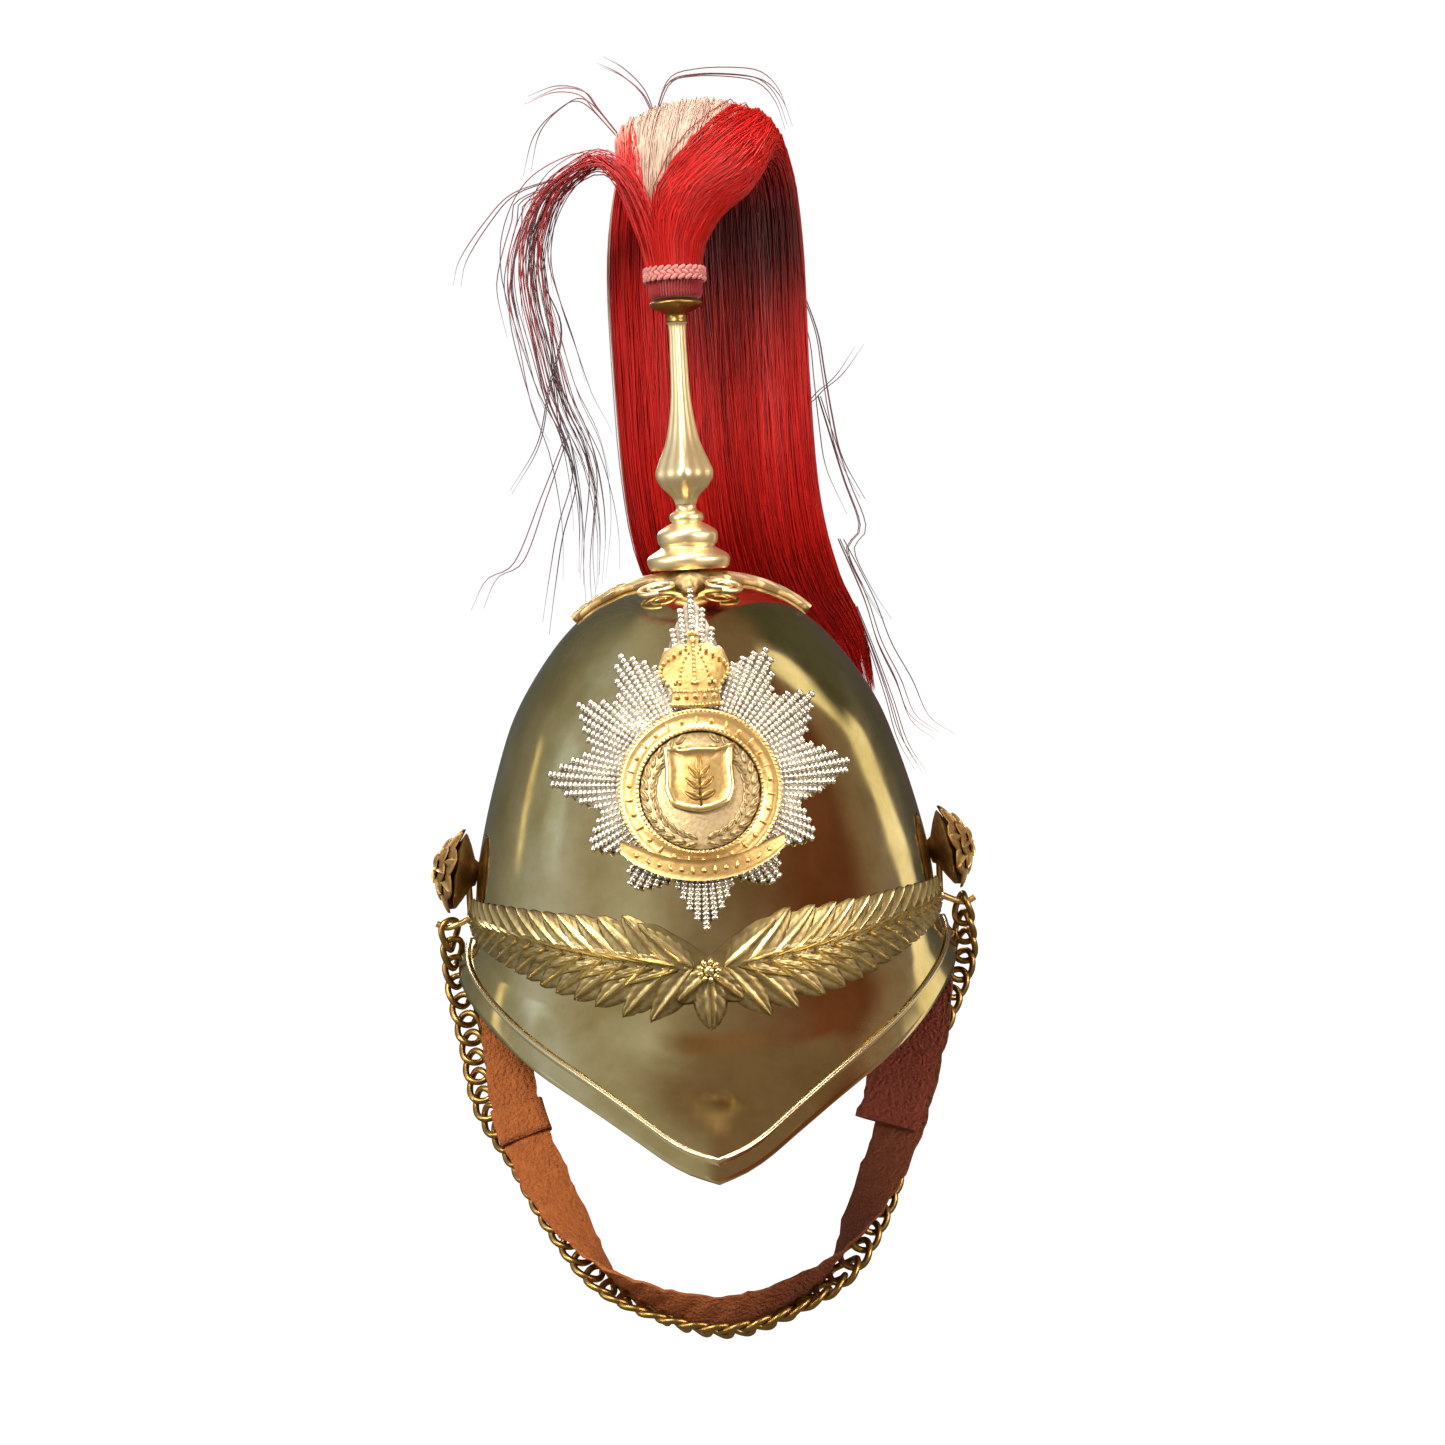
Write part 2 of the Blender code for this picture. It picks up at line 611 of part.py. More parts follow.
def hook_points(side):
    """The hook from the boss's post down and out, in a plane across the head."""
    wall = on_dome(side * math.pi / 2, BOSS_LEVEL, 0)
    shank = wall[0] + side * 0.6 * BOSS_STANDOFF
    foot = wall[0] + side * HOOK_REACH
    low = BOSS_LEVEL - HOOK_DROP
    return np.array([
        (shank, 0, BOSS_LEVEL - 0.5 * POST_RADIUS),
        (shank, 0, low + 0.40 * HOOK_REACH),
        (shank + 0.15 * (foot - shank), 0, low + 0.22 * HOOK_REACH),
        (foot, 0, low),
        (foot + side * 0.35 * HOOK_REACH, 0, low + 0.14 * HOOK_REACH),
    ])


def hook_seat(side):
    """Where the wire of the chain's first link rests in the hook."""
    return hook_points(side)[3] + np.array([0, 0, HOOK_RADIUS + 2 * GAP + LINK_WIRE])


def add_tube(name, points, radius, sides, finish):
    """A round bar along points that lie in one upright plane across the head."""
    line = bpy.data.curves.new(name, "CURVE")
    line.dimensions = "3D"
    line.bevel_depth = radius
    line.bevel_resolution = sides // 2 - 2
    line.use_fill_caps = True
    spline = line.splines.new("POLY")
    spline.points.add(len(points) - 1)
    for target, point in zip(spline.points, points):
        target.co = (*point, 1)
    guide = bpy.data.objects.new(name, line)
    mesh = bpy.data.meshes.new_from_object(guide)
    bpy.data.objects.remove(guide)
    mesh.materials.append(finish)
    made = bpy.data.objects.new(name, mesh)
    bpy.context.collection.objects.link(made)
    return made


def build_cross(gilt):
    """Four leaves that lie on the dome under the plume's foot."""
    rings = [0.45, 0.75, 1.0]
    centre = (0, 0, SKULL_HEIGHT + CROSS_SEAT)
    top = [np.add(centre, (0, 0, CROSS_RELIEF))]
    bottom = [np.array(centre)]
    for ring in rings:
        for k in range(CROSS_STEPS):
            turn = 2 * math.pi * k / CROSS_STEPS
            lobe = abs(math.cos(2 * turn)) ** 1.6 if math.cos(2 * turn) ** 2 > 0.5 else 0.0
            tip = CROSS_FRONT_REACH if math.cos(turn) > 0.7 else CROSS_REACH
            reach = CROSS_WAIST + (tip - CROSS_WAIST) * lobe
            radius = ring * reach
            z = height_on_dome(turn, radius)
            lift = CROSS_EDGE if ring == 1.0 else CROSS_RELIEF
            top.append(on_dome(turn, z, CROSS_SEAT + lift))
            bottom.append(on_dome(turn, z, CROSS_SEAT))
    add_slab("crown_cross", top, bottom, disc_faces(len(rings), CROSS_STEPS), gilt)


def height_on_dome(turn, radius):
    """Height at which the dome has a given radius from the axis."""
    share = radius / plan_radius(turn)
    upper = DOME_LINE[DOME_LINE[:, 0] > 0.2][::-1]
    return SKULL_HEIGHT * float(np.interp(share, upper[:, 1], upper[:, 0]))


def build_stem(name, level, gilt):
    """The plume's holder: a four-sided bar with hollow faces that swells near its foot."""
    steps = zip(STEM["height"], STEM["bulge"])
    rings = []
    for height, bulge in steps:
        half = STEM_TOP + bulge * (STEM_BULGE - STEM_TOP)
        for k in range(8):
            turn = math.pi * k / 4
            radius = half if k % 2 == 0 else half * 0.80
            rings.append((radius * math.sin(turn), -radius * math.cos(turn), level + height * STEM_LENGTH))
    count = len(STEM["height"])
    faces = grid_faces(count, 8, closed=True)
    faces += [tuple(range(7, -1, -1)), tuple(range(8 * (count - 1), 8 * count))]
    add_mesh(name, rings, faces, gilt)


def build_plume(root, hair):
    """The hair from its binding up, over and down behind the skull, fused into one mass of locks."""
    table = np.column_stack([PLUME[key] for key in ("x", "y", "z", "half", "depth")]) * PLUME_UNIT
    table[:, 2] += root
    rows, _ = smooth_path(table, PLUME_ROWS)
    points = []
    for k, (x, y, z, half, depth) in enumerate(rows):
        ahead = rows[min(k + 1, len(rows) - 1)][:3] - rows[max(k - 1, 0)][:3]
        tangent = unit(ahead)
        side = unit(np.array([1, 0, 0]) - tangent[0] * tangent)
        face = np.cross(tangent, side)
        for c in range(PLUME_SIDES):
            turn = 2 * math.pi * c / PLUME_SIDES
            lock = 1 + LOCK_RELIEF * (1 if c % 2 else -1) * min(k / 4, 1)
            points.append(
                np.array([x, y, z]) + lock * (half * math.cos(turn) * side + depth * math.sin(turn) * face)
            )
    faces = [tuple(face) for face in grid_faces(len(rows), PLUME_SIDES, closed=True)]
    faces += [tuple(range(PLUME_SIDES - 1, -1, -1))]
    faces += [tuple(range(PLUME_SIDES * (len(rows) - 1), PLUME_SIDES * len(rows)))]
    add_mesh("plume_hair", points, faces, hair)


def band_frames(rows):
    """Tangent, outer normal and lower side of a band at each row of x, y, z and roll."""
    frames = []
    for k, row in enumerate(rows):
        ahead = rows[min(k + 1, len(rows) - 1)][:3] - rows[max(k - 1, 0)][:3]
        tangent = unit(ahead)
        across = unit(np.array([row[0], 0, min(row[2], 0)]) + 1e-9)
        outward = unit(across - np.dot(across, tangent) * tangent)
        forward = np.cross(outward, tangent)
        roll = math.radians(row[3])
        normal = math.cos(roll) * outward + math.sin(roll) * forward
        frames.append((row[:3], tangent, normal, np.cross(tangent, normal)))
    return frames


def strap_rows():
    table = np.column_stack([STRAP_ROUTE[key] for key in ("x", "y", "z")]) * ROUTE_UNIT
    rows = np.column_stack([table, STRAP_ROUTE["roll"]])
    return smooth_path(rows, STRAP_PIECES)[0]


def build_strap(leather):
    frames = band_frames(strap_rows())
    top = []
    bottom = []
    for place, _, normal, edge in frames:
        for side in (-0.5, 0.5):
            middle = place + side * STRAP_WIDTH * edge
            top.append(middle + 0.5 * STRAP_THICK * normal)
            bottom.append(middle - 0.5 * STRAP_THICK * normal)
    faces = [tuple(reversed(face)) for face in grid_faces(len(frames), 2)]
    add_slab("chin_strap", top, bottom, faces, leather)
    return frames


def build_keeper(frames, leather):
    """A sleeve of leather that wraps one length of the strap."""
    inner = (STRAP_WIDTH / 2 + GAP, STRAP_THICK / 2 + GAP)
    outer = (inner[0] + KEEPER_THICK, inner[1] + KEEPER_THICK)
    points = []
    for place, _, normal, edge in frames[KEEPER_ROW:KEEPER_ROW + 2]:
        for width, height in (inner, outer):
            for a, b in ((-1, -1), (1, -1), (1, 1), (-1, 1)):
                points.append(place + a * width * edge + b * height * normal)
    faces = []
    for c in range(4):
        d = (c + 1) % 4
        faces.append((c, d, 8 + d, 8 + c))
        faces.append((4 + d, 4 + c, 12 + c, 12 + d))
        faces.append((c, 4 + c, 4 + d, d))
        faces.append((8 + d, 12 + d, 12 + c, 8 + c))
    add_mesh("strap_keeper", points, faces, leather)


def build_tab(frames, leather):
    """A flap of leather that lies on the strap's inner face and hangs under the peak."""
    near = [frame for frame in frames if frame[0][0] > 0 and TAB_FOOT < frame[0][2] < TAB_TOP]
    top = []
    bottom = []
    for index, (place, _, normal, edge) in enumerate(near):
        corner = 0.8 if index in (0, len(near) - 1) else 1.0
        for share in (0.0, 0.5, 1.0):
            aside = -TAB_OVERLAP + share * (TAB_REACH * corner + TAB_OVERLAP)
            middle = place + aside * edge - (STRAP_THICK / 2 + TAB_CLEAR) * normal
            top.append(middle)
            bottom.append(middle - TAB_THICK * normal)
    add_slab("strap_tab", top, bottom, grid_faces(len(near), 3), leather)


def chain_rows():
    """The chain's route: from hook to hook, along the outer face of the strap."""
    table = np.column_stack([STRAP_ROUTE[key] for key in ("x", "y", "z")]) * ROUTE_UNIT
    rows = np.column_stack([table, STRAP_ROUTE["roll"]])
    frames = band_frames(rows)
    last = len(rows) - CHAIN_FIRST_ROW
    path = []
    for k in range(CHAIN_FIRST_ROW, last):
        place, _, normal, edge = frames[k]
        out = STRAP_ROUTE["out"][k] * ROUTE_UNIT
        aside = STRAP_ROUTE["aside"][k] * ROUTE_UNIT
        path.append([*(place + out * normal + aside * edge), STRAP_ROUTE["roll"][k]])
    ends = []
    for side, following in ((-1, path[0]), (1, path[-1])):
        seat = hook_seat(side)
        reach = LINK_LENGTH / 2 - LINK_WIRE
        ends.append([*(seat + reach * unit(np.array(following[:3]) - seat)), 0])
    return np.array([ends[0]] + path + [ends[1]])


def link_points(frame, width, segments):
    """Rings of wire round one twisted link, which lies flat and holds the next one like it."""
    place, tangent, normal, edge = frame
    half_length = LINK_LENGTH / 2 - LINK_WIRE
    half_width = width / 2 - LINK_WIRE
    rise = LINK_WIRE - LINK_BITE
    line = []
    for k in range(segments):
        turn = 2 * math.pi * (k + 0.5) / segments
        line.append(
            place
            + half_length * math.cos(turn) * tangent
            + half_width * math.sin(turn) * edge
            + (rise * math.sin(2 * turn) + LINK_TILT * math.cos(turn)) * normal
        )
    points = []
    for k in range(segments):
        along = unit(line[(k + 1) % segments] - line[k - 1])
        outward = unit(line[k] - place)
        side = unit(outward - np.dot(outward, along) * along)
        other = np.cross(along, side)
        for c in range(WIRE_SIDES):
            turn = 2 * math.pi * c / WIRE_SIDES
            points.append(line[k] + LINK_WIRE * (math.cos(turn) * side + math.sin(turn) * other))
    return points


def build_chain(brass):
    _, length = smooth_path(chain_rows(), 600)
    count = round(length / LINK_PITCH) + 1
    rows, _ = smooth_path(chain_rows(), count)
    frames = band_frames(rows)
    block = grid_faces(LINK_SEGMENTS, WIRE_SIDES, closed=True)
    block += [
        ((LINK_SEGMENTS - 1) * WIRE_SIDES + c, (LINK_SEGMENTS - 1) * WIRE_SIDES + (c + 1) % WIRE_SIDES,
         (c + 1) % WIRE_SIDES, c)
        for c in range(WIRE_SIDES)
    ]
    halves = []
    for parity in (0, 1):
        points = []
        faces = []
        for k in range(parity, count, 2):
            middle = 1 - abs(2 * k / (count - 1) - 1)
            width = LINK_WIDTH_END + (LINK_WIDTH_CHIN - LINK_WIDTH_END) * min(1.6 * middle, 1)
            start = len(points)
            points += link_points(frames[k], width, LINK_SEGMENTS)
            faces += [tuple(start + index for index in face) for face in block]
        halves.append(add_mesh("chin_chain" if parity == 0 else "chain_other_links", points, faces, brass))
    fuse(halves[0], halves[1])


def main():
    for existing in list(bpy.data.objects):
        bpy.data.objects.remove(existing)
    brass = material("polished_brass", 0.52, 0.42, 0.19, 1.0, 0.16)
    gilt = material("gilt_brass", 0.68, 0.45, 0.17, 1.0, 0.28)
    dark_brass = material("aged_brass", 0.33, 0.24, 0.12, 1.0, 0.35)
    silver = material("silver_plate", 0.70, 0.66, 0.60, 1.0, 0.25)
    red_hair = material("red_horsehair", 0.45, 0.01, 0.02, 0.0, 0.45)
    braid = material("crimson_braid", 0.50, 0.10, 0.12, 0.0, 0.7)
    leather = material("brown_leather", 0.36, 0.14, 0.05, 0.0, 0.7)

    build_skull(brass)
    build_wreath(gilt)
    build_star(silver, gilt)
    for name, side in (("boss_left", -1), ("boss_right", 1)):
        build_boss(name, side, gilt)
    build_cross(gilt)
    level = SKULL_HEIGHT + CROSS_SEAT + CROSS_RELIEF + GAP
    add_turned("plume_foot", FOOT, FOOT_RADIUS, FOOT_HEIGHT, level, gilt)
    level += FOOT_HEIGHT + GAP
    build_stem("plume_stem", level, gilt)
    level += STEM_LENGTH + GAP
    add_turned("plume_cup", CUP, CUP_RADIUS, CUP_HEIGHT, level, dark_brass)
    level += CUP_HEIGHT + GAP
    add_turned("plume_binding", BINDING, BINDING_RADIUS, BINDING_HEIGHT, level, braid)
    build_plume(level + BINDING_HEIGHT + 2 * GAP, red_hair)
    frames = build_strap(leather)
    build_keeper(frames, leather)
    build_tab(frames, leather)
    build_chain(dark_brass)


main()
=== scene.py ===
"""A brass parade helmet with a horsehair plume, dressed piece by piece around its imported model.

Metres, +Z up, and the front faces -Y. Each section follows one piece, in the order of assembly.
"""

import math

import bmesh
import bpy
import numpy as np
from mathutils import Matrix, Vector
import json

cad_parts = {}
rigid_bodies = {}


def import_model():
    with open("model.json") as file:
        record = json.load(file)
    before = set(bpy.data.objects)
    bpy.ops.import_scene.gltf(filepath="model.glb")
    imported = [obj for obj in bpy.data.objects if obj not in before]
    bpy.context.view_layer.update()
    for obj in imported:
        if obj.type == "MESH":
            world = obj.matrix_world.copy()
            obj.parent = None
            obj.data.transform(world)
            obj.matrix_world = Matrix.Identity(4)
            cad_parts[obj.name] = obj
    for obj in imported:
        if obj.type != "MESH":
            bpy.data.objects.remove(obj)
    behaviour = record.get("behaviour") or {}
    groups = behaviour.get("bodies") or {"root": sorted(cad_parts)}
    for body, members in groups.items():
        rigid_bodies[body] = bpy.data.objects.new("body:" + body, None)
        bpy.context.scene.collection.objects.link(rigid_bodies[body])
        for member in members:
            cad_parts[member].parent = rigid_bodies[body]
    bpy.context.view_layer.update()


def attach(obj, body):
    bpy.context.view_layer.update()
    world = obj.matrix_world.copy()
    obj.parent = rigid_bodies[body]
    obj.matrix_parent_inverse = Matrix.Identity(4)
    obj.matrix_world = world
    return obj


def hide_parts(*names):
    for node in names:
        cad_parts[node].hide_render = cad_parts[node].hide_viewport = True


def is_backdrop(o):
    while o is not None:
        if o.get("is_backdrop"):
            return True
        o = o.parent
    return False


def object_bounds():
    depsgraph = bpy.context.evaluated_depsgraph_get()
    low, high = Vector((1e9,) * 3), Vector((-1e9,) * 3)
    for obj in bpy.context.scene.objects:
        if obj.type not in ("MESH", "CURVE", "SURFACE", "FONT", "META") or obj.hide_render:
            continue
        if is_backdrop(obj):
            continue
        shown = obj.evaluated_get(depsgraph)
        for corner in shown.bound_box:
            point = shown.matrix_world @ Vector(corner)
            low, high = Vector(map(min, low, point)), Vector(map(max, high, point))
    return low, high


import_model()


# Skull. One sheet of brass, raised over a stake into a dome with a front and a back peak, polished
# and lacquered. A half-round bead is pressed into the sheet a finger's width inside its edge.
SKULL_HALF_WIDTH = 0.0985
SKULL_FRONT = 0.114
SKULL_BACK = 0.120
SKULL_HEIGHT = 0.1365
SKULL_WALL = 0.0012
BROW_DROP = 0.034
SIDE_FLARE = 0.008
SIDE_DROP = 0.020
PEAK_LENGTH = 0.059
PEAK_DROP = 0.079
BACK_PEAK_LENGTH = 0.056
BACK_PEAK_DROP = 0.088
BEAD_INSET = 0.010
BEAD_WIDTH = 0.0032
BEAD_HEIGHT = 0.0014
DOME = {
    "height": [-0.25, -0.08, 0.10, 0.28, 0.45, 0.60, 0.74, 0.85, 0.93, 0.98, 1.0],
    "radius": [1.015, 1.005, 0.985, 0.932, 0.863, 0.786, 0.668, 0.545, 0.410, 0.235, 0.0],
}
FRONT_EDGE = {
    "angle": [0, 4, 12, 18, 25, 45, 68, 90],
    "reach": [1.0, 0.87, 0.56, 0.40, 0.275, 0.05, 0.0, 0.0],
    "drop": [1.0, 0.955, 0.805, 0.70, 0.60, 0.39, 0.17, 0.0],
    "root": [1.0, 0.99, 0.95, 0.90, 0.82, 0.60, 0.36, 0.25],
}
BACK_EDGE = {
    "angle": [90, 105, 120, 135, 150, 165, 180],
    "reach": [0.0, 0.04, 0.14, 0.36, 0.68, 0.92, 1.0],
    "drop": [0.0, 0.16, 0.35, 0.57, 0.78, 0.94, 1.0],
    "root": [0.25, 0.25, 0.28, 0.34, 0.42, 0.48, 0.50],
}
SKULL_TURNS = 192
SKULL_RINGS = 58
FLARE_RINGS = 16
BEAD_RINGS = 6
RIM_RINGS = 5
EASE_PASSES = 10
EASE_REACH = 7


def smooth_value(xs, ys, x):
    """A smooth curve through a table's points, read at x; its ends keep their own slope."""
    xs = np.asarray(xs, float)
    ys = np.asarray(ys, float)
    chord = np.diff(ys) / np.diff(xs)
    slope = np.concatenate([chord[:1], (chord[1:] + chord[:-1]) / 2, chord[-1:]])
    slope[1:-1][chord[1:] * chord[:-1] <= 0] = 0
    k = int(np.clip(np.searchsorted(xs, x) - 1, 0, len(xs) - 2))
    span = xs[k + 1] - xs[k]
    t = (x - xs[k]) / span
    return (
        ys[k] * (1 + 2 * t) * (1 - t) ** 2
        + span * slope[k] * t * (1 - t) ** 2
        + ys[k + 1] * t * t * (3 - 2 * t)
        + span * slope[k + 1] * t * t * (t - 1)
    )


def smooth_path(points, count):
    """Catmull-Rom points through the given ones, evenly spaced, and the length of the path."""
    points = np.asarray(points, float)
    padded = np.vstack([2 * points[0] - points[1], points, 2 * points[-1] - points[-2]])
    fine = []
    for k in range(len(points) - 1):
        a, b, c, d = padded[k:k + 4]
        for t in np.linspace(0, 1, 12, endpoint=False):
            fine.append(
                0.5 * (2 * b + (c - a) * t + (2 * a - 5 * b + 4 * c - d) * t**2
                       + (3 * b - a - 3 * c + d) * t**3)
            )
    fine.append(points[-1])
    fine = np.array(fine)
    steps = np.linalg.norm(np.diff(fine[:, :3], axis=0), axis=1)
    along = np.concatenate([[0], np.cumsum(steps)])
    marks = np.linspace(0, along[-1], count)
    return np.column_stack([np.interp(marks, along, column) for column in fine.T]), along[-1]


def unit(vector):
    return vector / np.linalg.norm(vector)


def plan_radius(turn):
    """Radius of the dome's plan at an angle from the front, in radians."""
    length = SKULL_FRONT if math.cos(turn) > 0 else SKULL_BACK
    return 1 / math.hypot(math.sin(turn) / SKULL_HALF_WIDTH, math.cos(turn) / length)


def eased(line, width):
    """A profile with its bends eased; it is mirrored at the crown so that the crown stays round."""
    crown = line[::-1] * [1, -1]
    whole = np.vstack([np.repeat(line[:1], width, axis=0), line, crown[1:]])
    kernel = np.hanning(2 * width + 1)
    kernel /= kernel.sum()
    soft = np.column_stack([np.convolve(column, kernel, "same") for column in whole.T])
    return soft[width:width + len(line)]


DOME_LINE, _ = smooth_path(np.column_stack([DOME["height"], DOME["radius"]]), 600)
DOME_LINE = eased(DOME_LINE, 24)
DOME_LINE[:, 0] *= 1 / DOME_LINE[-1, 0]
DOME_LINE[-1, 1] = 0


def dome_point(turn, z):
    radius = plan_radius(turn) * float(np.interp(z / SKULL_HEIGHT, DOME_LINE[:, 0], DOME_LINE[:, 1]))
    return np.array([radius * math.sin(turn), -radius * math.cos(turn), z])


def dome_normal(turn, z):
    step = 1e-3
    around = dome_point(turn + step, z) - dome_point(turn - step, z)
    upward = dome_point(turn, z + step) - dome_point(turn, z - step)
    return unit(np.cross(around, upward))


def on_dome(turn, z, lift):
    return dome_point(turn, z) + lift * dome_normal(turn, z)


def on_front(x, z, lift):
    """The point of the dome's front that is seen at x and z, raised by lift."""
    share = float(np.interp(z / SKULL_HEIGHT, DOME_LINE[:, 0], DOME_LINE[:, 1]))
    y = math.sqrt(max(1 - (x / (SKULL_HALF_WIDTH * share)) ** 2, 0)) * SKULL_FRONT * share
    return on_dome(math.atan2(x, y), z, lift)


def flare_row(turn, shares, lifts):
    """Points of the flare from its root, at share 0, to its edge, at share 1."""
    degrees = abs(math.degrees(turn))
    table, length, fall = FRONT_EDGE, PEAK_LENGTH, PEAK_DROP
    if degrees > 90:
        table, length, fall = BACK_EDGE, BACK_PEAK_LENGTH, BACK_PEAK_DROP
    reach, drop, root = (
        smooth_value(table["angle"], table[key], degrees) for key in ("reach", "drop", "root")
    )
    reach = SIDE_FLARE + reach * (length - SIDE_FLARE)
    drop = SIDE_DROP + drop * (fall - SIDE_DROP)
    start = np.array([0, -root * BROW_DROP])
    start[0] = np.linalg.norm(dome_point(turn, start[1])[:2])
    end = np.array([plan_radius(turn) + reach, -drop])
    size = np.linalg.norm(end - start)
    slope = unit(end - start)
    first = start + np.array([0.10, -0.30]) * size
    second = end - 0.40 * size * slope
    t = np.interp(shares, [0, 1, 2, 3], [0, 1 - BEAD_INSET / size, 1 - (BEAD_INSET - BEAD_WIDTH) / size, 1])
    t = np.maximum(t, 0)[:, None]
    s = 1 - t
    flat = s**3 * start + 3 * s * s * t * first + 3 * s * t * t * second + t**3 * end
    flat = flat + np.asarray(lifts)[:, None] * np.array([-slope[1], slope[0]])
    placed = np.column_stack([flat[:, 0] * math.sin(turn), -flat[:, 0] * math.cos(turn), flat[:, 1]])
    return placed, -root * BROW_DROP


def grid_faces(rows, columns, closed=False):
    """Faces of a grid of points stored row by row; closed joins the last column to the first."""
    faces = []
    for r in range(rows - 1):
        for c in range(columns if closed else columns - 1):
            d = (c + 1) % columns
            faces.append((r * columns + c, r * columns + d, (r + 1) * columns + d, (r + 1) * columns + c))
    return faces


def looped_faces(rows, columns):
    """Faces of a round bar bent into a loop: its last row of points joins its first."""
    last = (rows - 1) * columns
    joint = [(last + c, last + (c + 1) % columns, (c + 1) % columns, c) for c in range(columns)]
    return grid_faces(rows, columns, closed=True) + joint


def rim_of(rows, columns):
    """Indices of the points round the edge of a grid, in order."""
    rim = list(range(columns)) + [r * columns + columns - 1 for r in range(1, rows)]
    rim += [(rows - 1) * columns + c for c in range(columns - 2, -1, -1)]
    return rim + [r * columns for r in range(rows - 2, 0, -1)]


def add_mesh(name, points, faces, finish, sharp=40, **layers):
    """A mesh with its faces turned outwards, smooth up to an angle, with values kept on its points."""
    mesh = bpy.data.meshes.new(name)
    mesh.from_pydata([tuple(map(float, p)) for p in points], [], [tuple(map(int, f)) for f in faces])
    for label, values in layers.items():
        mesh.attributes.new(label, "FLOAT", "POINT").data.foreach_set("value", np.asarray(values, np.float32))
    shape = bmesh.new()
    shape.from_mesh(mesh)
    bmesh.ops.remove_doubles(shape, verts=shape.verts, dist=1e-6)
    bmesh.ops.recalc_face_normals(shape, faces=shape.faces)
    shape.to_mesh(mesh)
    shape.free()
    mesh.materials.append(finish)
    mesh.shade_smooth()
    mesh.set_sharp_from_angle(angle=math.radians(sharp))
    made = bpy.data.objects.new(name, mesh)
    bpy.context.collection.objects.link(made)
    return made


def keep_result(piece):
    """Puts what a piece's modifiers make in place of its mesh, and clears the modifiers."""
    evaluated = piece.evaluated_get(bpy.context.evaluated_depsgraph_get())
    mesh = bpy.data.meshes.new_from_object(evaluated)
    piece.modifiers.clear()
    former = piece.data
    piece.data = mesh
    bpy.data.meshes.remove(former)


def srgb(code):
    """A hex colour as the linear values that a shader takes."""
    values = [int(code[k:k + 2], 16) / 255 for k in (0, 2, 4)]
    return (*[v / 12.92 if v <= 0.04045 else ((v + 0.055) / 1.055) ** 2.4 for v in values], 1.0)


def add_node(tree, kind, settings=None, links=None):
    """One node, with its settings or socket values by name, and what feeds its sockets."""
    node = tree.nodes.new(kind)
    for key, value in (settings or {}).items():
        if isinstance(key, str) and hasattr(node, key):
            setattr(node, key, value)
        else:
            node.inputs[key].default_value = value
    for key, source in (links or {}).items():
        tree.links.new(source, node.inputs[key])
    return node


def new_finish(name, metallic, roughness):
    """An empty finish: its material, node tree, shader and the piece's own coordinates."""
    finish = bpy.data.materials.new(name)
    finish.use_nodes = True
    shader = finish.node_tree.nodes["Principled BSDF"]
    shader.inputs["Metallic"].default_value = metallic
    shader.inputs["Roughness"].default_value = roughness
    coords = add_node(finish.node_tree, "ShaderNodeTexCoord").outputs["Object"]
    return finish, finish.node_tree, shader, coords


# Sheet brass, polished and lacquered: a clear mirror with faint tarnish clouds under the lacquer and
# the soft unevenness of hammered sheet.
polished_brass, tree, shader, coords = new_finish("polished_sheet_brass", 1.0, 0.13)
clouds = add_node(
    tree, "ShaderNodeTexNoise", {"Scale": 26.0, "Detail": 6.0, "Roughness": 0.62}, {"Vector": coords}
)
cloud_range = add_node(
    tree, "ShaderNodeMapRange", {"From Min": 0.42, "From Max": 0.68}, {"Value": clouds.outputs[0]}
)
cloud_tone = add_node(
    tree, "ShaderNodeMix",
    {"data_type": "RGBA", 6: srgb("E8DAA8"), 7: srgb("C9B87C")}, {0: cloud_range.outputs[0]},
)
tree.links.new(cloud_tone.outputs[2], shader.inputs["Base Color"])
smears = add_node(
    tree, "ShaderNodeTexNoise", {"Scale": 70.0, "Detail": 5.0, "Distortion": 0.6}, {"Vector": coords}
)
gloss = add_node(
    tree, "ShaderNodeMapRange",
    {"From Min": 0.35, "From Max": 0.75, "To Min": 0.06, "To Max": 0.17}, {"Value": smears.outputs[0]},
)
tree.links.new(gloss.outputs[0], shader.inputs["Roughness"])
hammer = add_node(tree, "ShaderNodeTexNoise", {"Scale": 42.0, "Detail": 1.0}, {"Vector": coords})
hammer_bump = add_node(
    tree, "ShaderNodeBump", {"Strength": 0.26, "Distance": 0.0009}, {"Height": hammer.outputs[0]}
)
tree.links.new(hammer_bump.outputs[0], shader.inputs["Normal"])

# The sheet's inside was never polished: dull, brown and stained.
inner_brass, tree, shader, coords = new_finish("dull_inner_brass", 0.85, 0.5)
stains = add_node(tree, "ShaderNodeTexNoise", {"Scale": 45.0, "Detail": 8.0}, {"Vector": coords})
stain_tone = add_node(
    tree, "ShaderNodeMix", {"data_type": "RGBA", 6: srgb("8A7444"), 7: srgb("4A3A22")}, {0: stains.outputs[0]}
)
tree.links.new(stain_tone.outputs[2], shader.inputs["Base Color"])

